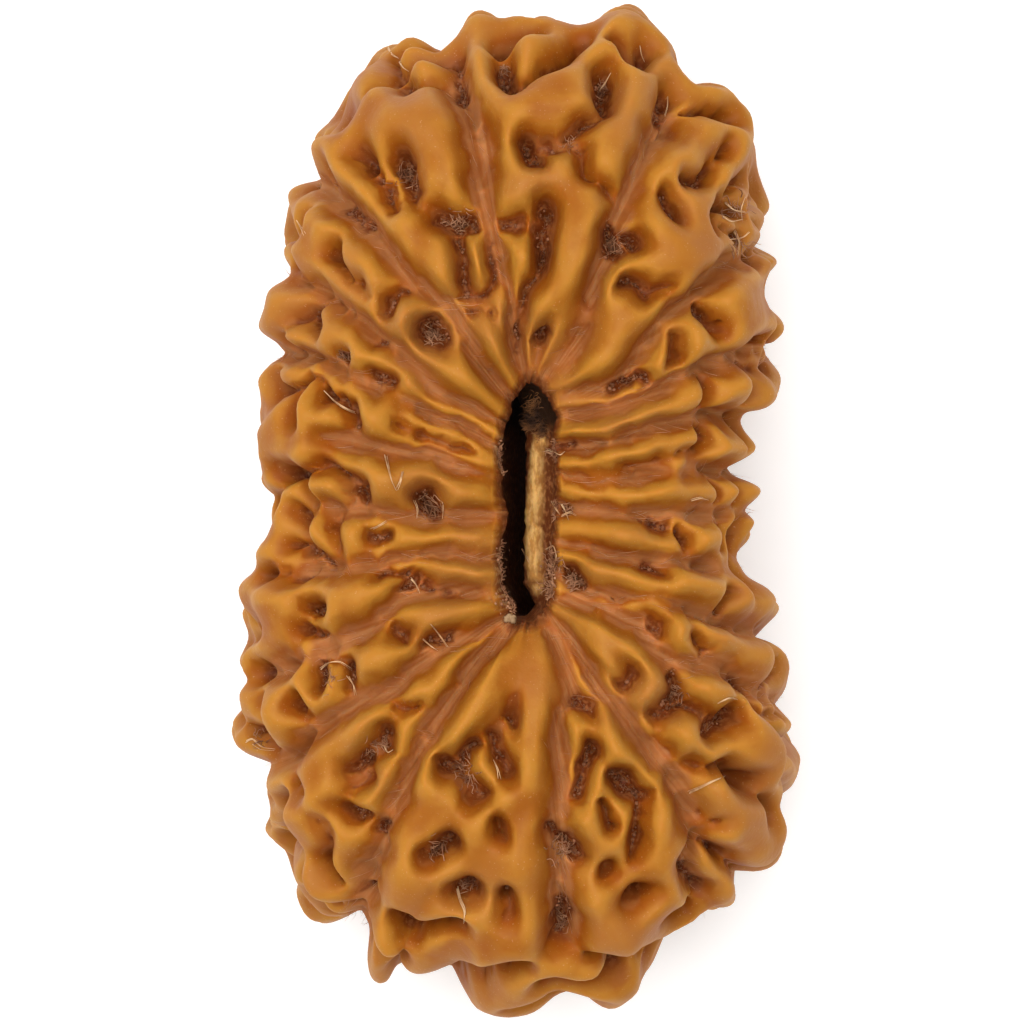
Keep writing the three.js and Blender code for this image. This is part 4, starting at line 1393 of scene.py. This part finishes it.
def make_stone_finish():
    finish, tree, shader = new_finish("waxy seed wood")
    broad, fine, grain = add_unevenness(tree, 1.0)
    place = object_place(tree)
    dust, streaks = dust_and_streaks(tree, fine)
    dust_colour = mixed(tree, ranged(tree, streaks, 0.36, 0.62), DUST_DEEP, DUST)
    colour = mixed(tree, dust, skin_colour(tree, place, broad, fine), dust_colour)
    pit_colour = mixed(tree, ranged(tree, grain, 0.42, 0.66), PIT, PIT_PALE)
    colour = mixed(tree, ranged(tree, mask(tree, "pit"), 0.15, 0.85), colour, pit_colour)
    tree.links.new(slit_colour(tree, place, grain, colour), shader.inputs["Base Color"])
    rough = plus(tree, ranged(tree, dust, 0, 1, 0.56, 0.78), times(tree, grain, 0.08))
    tree.links.new(rough, shader.inputs["Roughness"])
    heights = plus(tree, times(tree, fine, 1.0), times(tree, grain, 0.25))
    furred = times(tree, times(tree, streaks, dust), 0.8)
    bump = node(
        tree, "ShaderNodeBump", Height=plus(tree, heights, furred), Strength=0.5, Distance=BUMP_HEIGHT
    )
    tree.links.new(bump.outputs[0], shader.inputs["Normal"])
    shader.inputs["Subsurface Weight"].default_value = SKIN_SCATTER
    shader.inputs["Subsurface Radius"].default_value = SKIN_TINT
    shader.inputs["Subsurface Scale"].default_value = SKIN_DEPTH
    shader.inputs["Specular IOR Level"].default_value = SKIN_GLOSS
    return finish


stone.data.materials.append(make_stone_finish())
print("finish:", stone.data.materials[0].name, "of", len(stone.data.materials[0].node_tree.nodes), "nodes")

# %% [markdown]
# ## Fibres of dried pulp
#
# Brushing leaves pulp where the brush can't reach: a brown fluff of short curled fibres in the
# pits, thin silky ones along the seams, and a few pale bristles that stick out anywhere. Hair
# particles would be quick to grow, but they aren't a mesh that the part can carry. So each fibre
# is a curve with a round section that tapers to its tip, and a whole kind of them is one piece.
# A fibre in the fluff is so small that six points and four sides are enough for it.

# %% One kind of fibre as one piece
TIP_TAPER = 0.6


def put_in_scene(name, data):
    """A new piece, and the only selected one, so that the next tools work on it."""
    piece = bpy.data.objects.new(name, data)
    bpy.context.scene.collection.objects.link(piece)
    bpy.ops.object.select_all(action="DESELECT")
    piece.select_set(True)
    bpy.context.view_layer.objects.active = piece
    return piece


def settled(piece, count, kind):
    """Smooths the selected piece, sets it down and lets it ride on the stone."""
    bpy.ops.object.shade_smooth()
    set_down(piece)
    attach(piece, "root")
    print(piece.name + ":", count, kind + ",", len(piece.data.polygons), "faces")
    return piece


def strands(name, lines, radii):
    """One mesh of all the fibres: each is a line of points with a radius, tapered to its tip."""
    curve = bpy.data.curves.new(name, "CURVE")
    curve.dimensions = "3D"
    curve.bevel_depth = 1.0
    curve.bevel_resolution = 0
    curve.use_fill_caps = True
    for line, radius in zip(lines, radii):
        spline = curve.splines.new("POLY")
        spline.points.add(len(line) - 1)
        spline.points.foreach_set("co", np.column_stack([line, np.ones(len(line))]).ravel())
        taper = 1 - TIP_TAPER * np.linspace(0, 1, len(line)) ** 2
        spline.points.foreach_set("radius", radius * taper)
    piece = put_in_scene(name, curve)
    bpy.ops.object.convert(target="MESH")
    return settled(piece, len(lines), "fibres")


print("a fibre's tip is", round(1 - TIP_TAPER, 1), "as thick as its root")

# %% Where fibres start, and how they curl
DRAW = np.random.default_rng(7)
FIBRE_POINTS = 6
CURL_WAVES = (2.0, 5.5)
CURL_START = 6.3


def curled(start, normal, length, lift, curl, heading=None):
    """The points of a fibre that starts flat on the surface, and curls and rises to its tip."""
    flat = np.cross(normal, DRAW.normal(size=3)) if heading is None else heading
    flat /= np.linalg.norm(flat)
    side = np.cross(normal, flat)
    t = np.linspace(0, 1, FIBRE_POINTS)[:, None]
    wave = np.sin(t * DRAW.uniform(*CURL_WAVES) + DRAW.uniform(0, CURL_START))
    bow = (wave - wave[0]) * curl * length
    return start + flat * length * t + side * bow + normal * lift * t**0.7


def places_with(name, least, count):
    """A draw of the stone's vertices where a mask is strong, as places and normals."""
    strength = np.empty(len(stone.data.vertices), np.float32)
    stone.data.attributes[name].data.foreach_get("value", strength)
    found = DRAW.choice(np.where(strength > least)[0], count, replace=False)
    normals = np.array([stone.data.vertices[int(n)].normal for n in found])
    return corners[found], normals


print("a fibre has", FIBRE_POINTS, "points")

# %% [markdown]
# ### Crumbs in the pits
#
# Between the fibres sit dry crumbs, far too many to model one by one. A single ball of twenty
# sides is modelled and copied with its own turn, size and bumps, which reads as broken grain.

# %% Grains
def grains(name, points, normals, sizes):
    """Crumbs of dried pulp: one small ball is modelled, and copied with its own turn and size."""
    bpy.ops.mesh.primitive_ico_sphere_add(subdivisions=1, radius=1.0)
    grain = bpy.context.object
    ball = np.array([vertex.co for vertex in grain.data.vertices])
    sides = np.array([face.vertices for face in grain.data.polygons])
    bpy.data.objects.remove(grain)
    corners_of_all, faces_of_all = [], []
    for point, normal in zip(points, normals):
        size = DRAW.uniform(*sizes) * DRAW.uniform(0.5, 1.4, 3)
        turned = np.linalg.qr(DRAW.normal(size=(3, 3)))[0]
        bumpy = ball * DRAW.uniform(0.7, 1.3, (len(ball), 1))
        faces_of_all.append(sides + len(corners_of_all) * len(ball))
        corners_of_all.append(point + normal * size.mean() * 0.4 + (bumpy * size) @ turned)
    mesh = bpy.data.meshes.new(name)
    faces = np.concatenate(faces_of_all)
    mesh.from_pydata(np.concatenate(corners_of_all).tolist(), [], faces.tolist())
    piece = put_in_scene(name, mesh)
    bpy.ops.object.mode_set(mode="EDIT")
    bpy.ops.mesh.select_all(action="SELECT")
    bpy.ops.mesh.normals_make_consistent(inside=False)
    bpy.ops.object.mode_set(mode="OBJECT")
    return settled(piece, len(points), "grains")


CRUMB_COUNT = 4600
CRUMB_SIZE = (0.02, 0.07)
crumbs = grains("pulp_crumbs", *places_with("pit", 0.6, CRUMB_COUNT), CRUMB_SIZE)

# %% [markdown]
# ### Fluff in the pits and silk in the seams
#
# In the pits the fibres curl anywhere. In the seams they are thinner and longer, and lie along
# the seam with a little stray. Round the slit they are rubbed off, so a fibre that starts there
# is left out. Hair could be combed by hand, but a rule for the heading is the same in each run.

# %% Fluff in the pits
PIT_FIBRES = 3200
lines, radii = [], []
for point, normal in zip(*places_with("pit", 0.8, PIT_FIBRES)):
    lines.append(curled(point, normal, DRAW.uniform(0.1, 0.3), DRAW.uniform(0.03, 0.22), 0.14))
    radii.append(DRAW.uniform(0.006, 0.012))
pit_fluff = strands("pit_fluff", lines, radii)

# %% Silk in the seams
SEAM_FIBRES = 2800
SEAM_STRAY = 0.16
SILK_CLEAR = 1.0


def along_seam(place, normal):
    """The way that the seams run at a place: from one mouth over the rim to the other."""
    ends = [in_plan(HOLE_CENTRE[0], y)[1] for y in reversed(SPINE)]
    outward = place[:2] - (in_plan(*HOLE_CENTRE)[0], np.clip(place[1], *ends))
    return np.cross(normal, (-outward[1], outward[0], 0))


lines, radii = [], []
for point, normal in zip(*places_with("dust", 0.55, SEAM_FIBRES)):
    if np.linalg.norm(rings[0] - point, axis=1).min() < SILK_CLEAR:
        continue
    heading = along_seam(point, normal)
    heading += DRAW.normal(size=3) * SEAM_STRAY * np.linalg.norm(heading)
    lines.append(curled(point, normal, DRAW.uniform(0.3, 1.1), DRAW.uniform(0.01, 0.06), 0.05, heading))
    radii.append(DRAW.uniform(0.004, 0.009))
seam_silk = strands("seam_silk", lines, radii)

# %% [markdown]
# ### Crumbs and fibres on the lip of the slit
#
# The slit's lip is worn and torn: crumbs stick to it in a few places, pale chips lie at its
# lower end, and short fibres stand off where it is torn. Their places are read off the
# photograph, and a ray from above finds the stone under each.

# %% Crumbs and chips on the lip
# Each patch: its middle, its spread on x and y, and how many grains lie in it.
LIP_CRUMBS = [(501, 455, 4, 22, 14), (502, 572, 5, 30, 26), (508, 603, 7, 10, 26), (550, 575, 6, 16, 40)]
LIP_CRUMB_SIZE = (0.015, 0.06)
CHIPS = [(511, 618, 5, 4, 16)]
CHIP_SIZE = (0.05, 0.12)


def scattered(patches):
    """Places on the stone within some patches of the photograph, and the normals there."""
    found = []
    for x, y, wide, high, count in patches:
        for _ in range(count):
            found.append(surface_at(x + DRAW.normal() * wide / 2, y + DRAW.normal() * high / 2))
    found = [place for place in found if place[0] is not None and place[0].z > 0]
    return np.array([place[0] for place in found]), np.array([place[1] for place in found])


lip_crumbs = grains("lip_crumbs", *scattered(LIP_CRUMBS), LIP_CRUMB_SIZE)
chips = grains("slit_chips", *scattered(CHIPS), CHIP_SIZE)

# %% Fibres of the torn lip
# Each stretch: from and to on y, and whether it is on the left of the slit.
TORN_LIP = [(446, 476, True), (540, 612, True), (440, 462, False), (500, 520, False), (545, 600, False)]
LIP_STEP = 0.4


def lip_fibres():
    """Short fibres that stand off the torn lip of the slit, towards its middle."""
    lines = []
    lip = rings[0]
    middle = in_plan(*HOLE_CENTRE)[0]
    for first, last, on_left in TORN_LIP:
        for y in np.arange(first, last, LIP_STEP):
            place = in_plan(HOLE_CENTRE[0], y + DRAW.normal() * LIP_STEP)
            side = lip[(lip[:, 0] < middle) == on_left]
            start = side[np.abs(side[:, 1] - place[1]).argmin()]
            inward = np.array([0.8 if on_left else -0.8, 0, DRAW.uniform(0.0, 1.2)])
            lines.append(curled(start, inward, DRAW.uniform(0.05, 0.16), DRAW.uniform(0.02, 0.1), 0.2))
    return lines


lines = lip_fibres()
torn_lip = strands("torn_lip", lines, DRAW.uniform(0.008, 0.02, len(lines)))

# %% [markdown]
# ### Clumps, and the fuzz at the slit's upper end
#
# Where pulp has gathered, many fibres start close together, each with its own length and curl.
# One function makes such a clump from a row of numbers, and the dark fuzz is five dense ones.

# %% Clumps, and the fuzz
CLUMP_SHORTER = 0.75


def clump(x, y, spread, count, length, thickness):
    """Fibres round a pixel of the photograph, with their length and thickness in pixels."""
    lines, radii = [], []
    length *= CLUMP_SHORTER
    for _ in range(count):
        hit, normal = surface_at(x + DRAW.normal() * spread / 2, y + DRAW.normal() * spread / 2)
        if hit is None or hit.z < 0:
            continue
        reach = length * MM_PER_PIXEL * DRAW.uniform(0.6, 1.4)
        lines.append(curled(np.array(hit), np.array(normal), reach, DRAW.uniform(0.05, 0.3), 0.25))
        radii.append(thickness * MM_PER_PIXEL / 2 * DRAW.uniform(0.6, 1.1))
    return lines, radii


def clump_piece(name, rows):
    """One piece of many clumps."""
    lines, radii = [], []
    for row in rows:
        more_lines, more_radii = clump(*row)
        lines += more_lines
        radii += more_radii
    return strands(name, lines, radii)


# Each place of the fuzz, with its spread.
SLIT_FUZZ = [(535, 403, 8), (533, 414, 8), (539, 424, 8), (544, 432, 6), (529, 426, 5)]
FUZZ_FIBRES = 90
FUZZ_LENGTH = 4.5
FUZZ_THICKNESS = 0.7
slit_fuzz = clump_piece("slit_fuzz", [(*row, FUZZ_FIBRES, FUZZ_LENGTH, FUZZ_THICKNESS) for row in SLIT_FUZZ])

# %% [markdown]
# ### Pale bristles
#
# A bristle is a bundle of a few long stiff fibres, nearly white, that arches over the stone. It
# is the first thing that the eye finds in the photograph, so each one is traced there. A ray
# under every point of the path gives the height that the arch stands on.

# %% Bristles
# Each bristle: thickness in pixels, how far it stands off in millimetres, then its path.
BRISTLES = [
    [3.6, 0.35, 325, 392, 335, 402, 346, 409, 355, 413],
    [3.4, 0.30, 387, 457, 390, 470, 393, 482, 397, 490],
    [2.8, 0.30, 403, 472, 401, 481, 397, 489],
    [2.6, 0.20, 372, 530, 380, 526, 388, 521],
    [2.6, 0.30, 430, 624, 437, 632, 443, 640, 447, 646],
    [2.4, 0.30, 424, 638, 431, 645, 438, 650],
    [2.6, 0.35, 321, 668, 330, 661, 342, 660, 354, 668],
    [2.4, 0.25, 348, 676, 355, 684, 358, 694],
    [2.6, 0.30, 254, 742, 262, 748, 275, 749],
    [3.0, 0.30, 688, 791, 700, 786, 712, 780, 724, 776],
    [3.6, 0.20, 458, 886, 461, 898, 466, 908, 465, 920],
    [2.2, 0.25, 640, 48, 641, 56, 644, 63],
    [2.2, 0.25, 667, 98, 667, 108, 664, 118],
    [2.2, 0.20, 297, 222, 302, 229, 306, 236],
    [2.4, 0.25, 411, 578, 417, 584, 420, 592],
    [3.4, 0.35, 724, 204, 732, 212, 744, 214],
    [3.4, 0.35, 733, 232, 739, 244, 736, 257],
    [2.6, 0.35, 722, 218, 730, 224, 742, 221],
    [2.4, 0.30, 744, 198, 740, 210, 742, 222],
    [2.2, 0.30, 728, 240, 742, 238, 748, 232],
    [2.0, 0.20, 545, 452, 552, 450, 560, 456, 565, 452],
    [2.4, 0.25, 562, 504, 566, 512, 568, 520],
    [2.0, 0.25, 562, 516, 570, 512, 576, 516],
    [2.2, 0.25, 546, 550, 553, 545, 556, 556, 552, 566],
    [2.2, 0.20, 414, 500, 418, 508, 417, 517],
    [2.4, 0.20, 441, 498, 443, 508, 442, 518],
    [2.0, 0.20, 246, 742, 252, 738, 258, 741],
    [2.2, 0.20, 522, 548, 526, 556, 529, 562],
    [2.4, 0.25, 600, 92, 606, 84, 611, 76],
    [2.0, 0.20, 384, 744, 388, 752, 394, 748],
    [2.0, 0.20, 716, 702, 728, 696, 736, 698],
    [2.0, 0.20, 494, 760, 498, 768, 500, 778],
    [1.6, 0.25, 690, 500, 700, 498, 708, 501],
    [1.6, 0.25, 400, 64, 404, 70, 410, 73],
    [1.6, 0.25, 388, 46, 392, 54, 399, 58],
    [1.8, 0.25, 552, 500, 556, 508, 560, 514],
]
BUNDLE_SPREAD = 0.022
DEEPEST_DIP = 1.2


def bristle(path, stand_off):
    """A line over pixels of the photograph that arches over the stone."""
    pixels = np.array(path, float).reshape(-1, 2)
    turns = np.linspace(0, len(pixels) - 1, 4 * len(pixels))
    smooth = np.column_stack([np.interp(turns, range(len(pixels)), pixels[:, k]) for k in (0, 1)])
    points = [surface_at(*pixel)[0] for pixel in smooth]
    heights = [point.z if point else -np.inf for point in points]
    level = max(heights)
    low = np.array([max(height, level - DEEPEST_DIP) for height in heights])
    arch = np.sin(np.linspace(0.15, math.pi - 0.3, len(low))) * stand_off
    plan = np.array([in_plan(*pixel) for pixel in smooth])
    line = np.column_stack([plan, low + arch])
    for _ in range(3):
        line[1:-1] = (line[:-2] + line[1:-1] * 2 + line[2:]) / 4
    return line


lines, radii = [], []
for thickness, stand_off, *path in BRISTLES:
    middle_line = bristle(path, stand_off)
    for _ in range(round(thickness)):
        fan = np.outer(np.linspace(-1, 1, len(middle_line)), DRAW.normal(size=3) * BUNDLE_SPREAD)
        lines.append(middle_line + fan + DRAW.normal(size=3) * BUNDLE_SPREAD)
        radii.append(MM_PER_PIXEL * DRAW.uniform(0.3, 0.62))
bristles = strands("bristles", lines, radii)

# %% Clumps of pulp
# Each clump: place, spread, number of fibres, their length in pixels and their thickness.
CLUMPS = [
    [556, 562, 9, 50, 8, 1.0],
    [572, 582, 7, 60, 7, 1.6],
    [550, 588, 6, 26, 7, 1.0],
    [433, 337, 11, 70, 8, 1.1],
    [343, 356, 6, 24, 6, 0.9],
    [568, 510, 7, 16, 9, 0.9],
    [550, 452, 5, 9, 8, 0.9],
    [432, 508, 11, 54, 13, 1.1],
    [735, 212, 10, 28, 14, 1.1],
    [738, 244, 8, 22, 14, 1.1],
    [385, 745, 6, 22, 8, 0.9],
    [262, 740, 8, 19, 9, 0.9],
    [460, 224, 12, 41, 9, 1.4],
    [405, 178, 10, 41, 10, 1.2],
    [602, 92, 6, 35, 9, 1.0],
    [505, 72, 5, 19, 8, 0.9],
    [612, 246, 9, 41, 9, 1.2],
    [468, 772, 12, 41, 9, 1.1],
    [438, 848, 10, 41, 10, 1.2],
    [560, 846, 11, 41, 11, 1.1],
    [562, 920, 6, 35, 10, 1.0],
    [468, 884, 7, 22, 10, 1.0],
    [330, 680, 8, 22, 9, 1.0],
    [372, 748, 9, 25, 9, 1.0],
    [676, 690, 8, 25, 9, 1.0],
    [570, 148, 8, 19, 8, 0.9],
]
clumps = clump_piece("pulp_clumps", CLUMPS)

# %% [markdown]
# ### The fibres' finish
#
# Dry pulp is matt and takes light without a gleam. Near-white bristles, tan clumps and brown
# fluff differ only in their two colours, so one function makes them all.

# %% Finishes of the fibres
FIBRE_PATCHES = 0.6
FIBRE_GLOSS = 0.3


def make_fibre_finish(name, dark, pale):
    """A matt finish between two colours."""
    finish, tree, shader = new_finish(name)
    broad, fine, grain = add_unevenness(tree, FIBRE_PATCHES)
    colour = mixed(tree, ranged(tree, fine, 0.35, 0.65), linear(*dark), linear(*pale))
    tree.links.new(colour, shader.inputs["Base Color"])
    tree.links.new(ranged(tree, grain, 0.3, 0.7, 0.6, 0.8), shader.inputs["Roughness"])
    shader.inputs["Specular IOR Level"].default_value = FIBRE_GLOSS
    return finish


for name, dark, pale, pieces in (
    ("brown pulp", (100, 56, 30), (138, 88, 58), (crumbs, pit_fluff)),
    ("silky pulp", (156, 102, 66), (186, 136, 98), (seam_silk,)),
    ("tan pulp", (116, 70, 42), (172, 124, 90), (lip_crumbs, torn_lip, clumps)),
    ("pale bristle", (184, 138, 94), (222, 186, 142), (bristles,)),
    ("pale chips", (104, 76, 50), (152, 122, 88), (chips,)),
    ("grey-brown fuzz", (52, 28, 12), (128, 82, 44), (slit_fuzz,)),
):
    finish = make_fibre_finish(name, dark, pale)
    for piece in pieces:
        piece.data.materials.append(finish)
    print(name + ":", *(piece.name for piece in pieces))

# %% [markdown]
# ## Floor, light and camera
#
# The seed was photographed from straight above on white, under one big soft light close to the
# lens. That is why its crests are bright, its flanks fall off to deep orange, and nothing throws
# a hard shadow. A wide disk above does the same here, with a little light from all round. The
# camera stands far off with a long lens, so that near and far parts of the seed keep one scale.

# %% White paper
FLOOR_SIZE = 1.2
PAPER_GLOW = 0.25
bpy.ops.mesh.primitive_plane_add(size=FLOOR_SIZE)
floor = bpy.context.object
floor.name = "floor"
paper, paper_tree, paper_shader = new_finish("white paper")
paper_grain = node(paper_tree, "ShaderNodeTexNoise", Scale=900.0, Detail=2.0).outputs["Fac"]
paper_colour = mixed(paper_tree, paper_grain, linear(246, 246, 245), linear(251, 251, 250))
paper_tree.links.new(paper_colour, paper_shader.inputs["Base Color"])
paper_shader.inputs["Roughness"].default_value = 0.9
paper_shader.inputs["Specular IOR Level"].default_value = 0.1
paper_shader.inputs["Emission Color"].default_value = (1, 1, 1, 1)
paper_shader.inputs["Emission Strength"].default_value = PAPER_GLOW
floor.data.materials.append(paper)
print("floor, m:", FLOOR_SIZE)

# %% Light
LIGHT_PLACE = (-0.05, 0.05, 0.5)
LIGHT_SIZE = 0.6
LIGHT_WATTS = 4.62
ROUND_ABOUT = 0.23
bpy.ops.object.light_add(type="AREA", location=LIGHT_PLACE)
softbox = bpy.context.object
softbox.name = "softbox"
softbox.data.shape = "DISK"
softbox.data.size = LIGHT_SIZE
softbox.data.energy = LIGHT_WATTS
softbox.rotation_euler = (-softbox.location).to_track_quat("-Z", "Y").to_euler()

world = bpy.data.worlds.new("studio")
world.use_nodes = True
world.node_tree.nodes["Background"].inputs["Color"].default_value = (1, 1, 1, 1)
world.node_tree.nodes["Background"].inputs["Strength"].default_value = ROUND_ABOUT
bpy.context.scene.world = world
bpy.context.scene.view_settings.view_transform = "Standard"
bpy.context.scene.view_settings.look = "None"
print("light:", LIGHT_WATTS, "W at", round(softbox.location.length, 2), "m")

# %% Camera
CAMERA_HEIGHT = 1.5
TOP_OF_STONE = 0.01
SENSOR = 36
FRAME_WIDTH = PHOTO_SIZE * MM_PER_PIXEL * SCALE / 1000
frame_centre = in_plan(PHOTO_SIZE / 2, PHOTO_SIZE / 2) * SCALE - MIDDLE
bpy.ops.object.camera_add(location=(*(frame_centre / 1000), CAMERA_HEIGHT), rotation=(0, 0, 0))
camera = bpy.context.object
camera.data.sensor_width = SENSOR
camera.data.lens = SENSOR * (CAMERA_HEIGHT - TOP_OF_STONE) / FRAME_WIDTH
camera.data.clip_start = 0.1
camera.data.clip_end = 10
bpy.context.scene.camera = camera
print("camera: lens", round(camera.data.lens), "mm, frame", round(1000 * FRAME_WIDTH, 2), "mm wide")
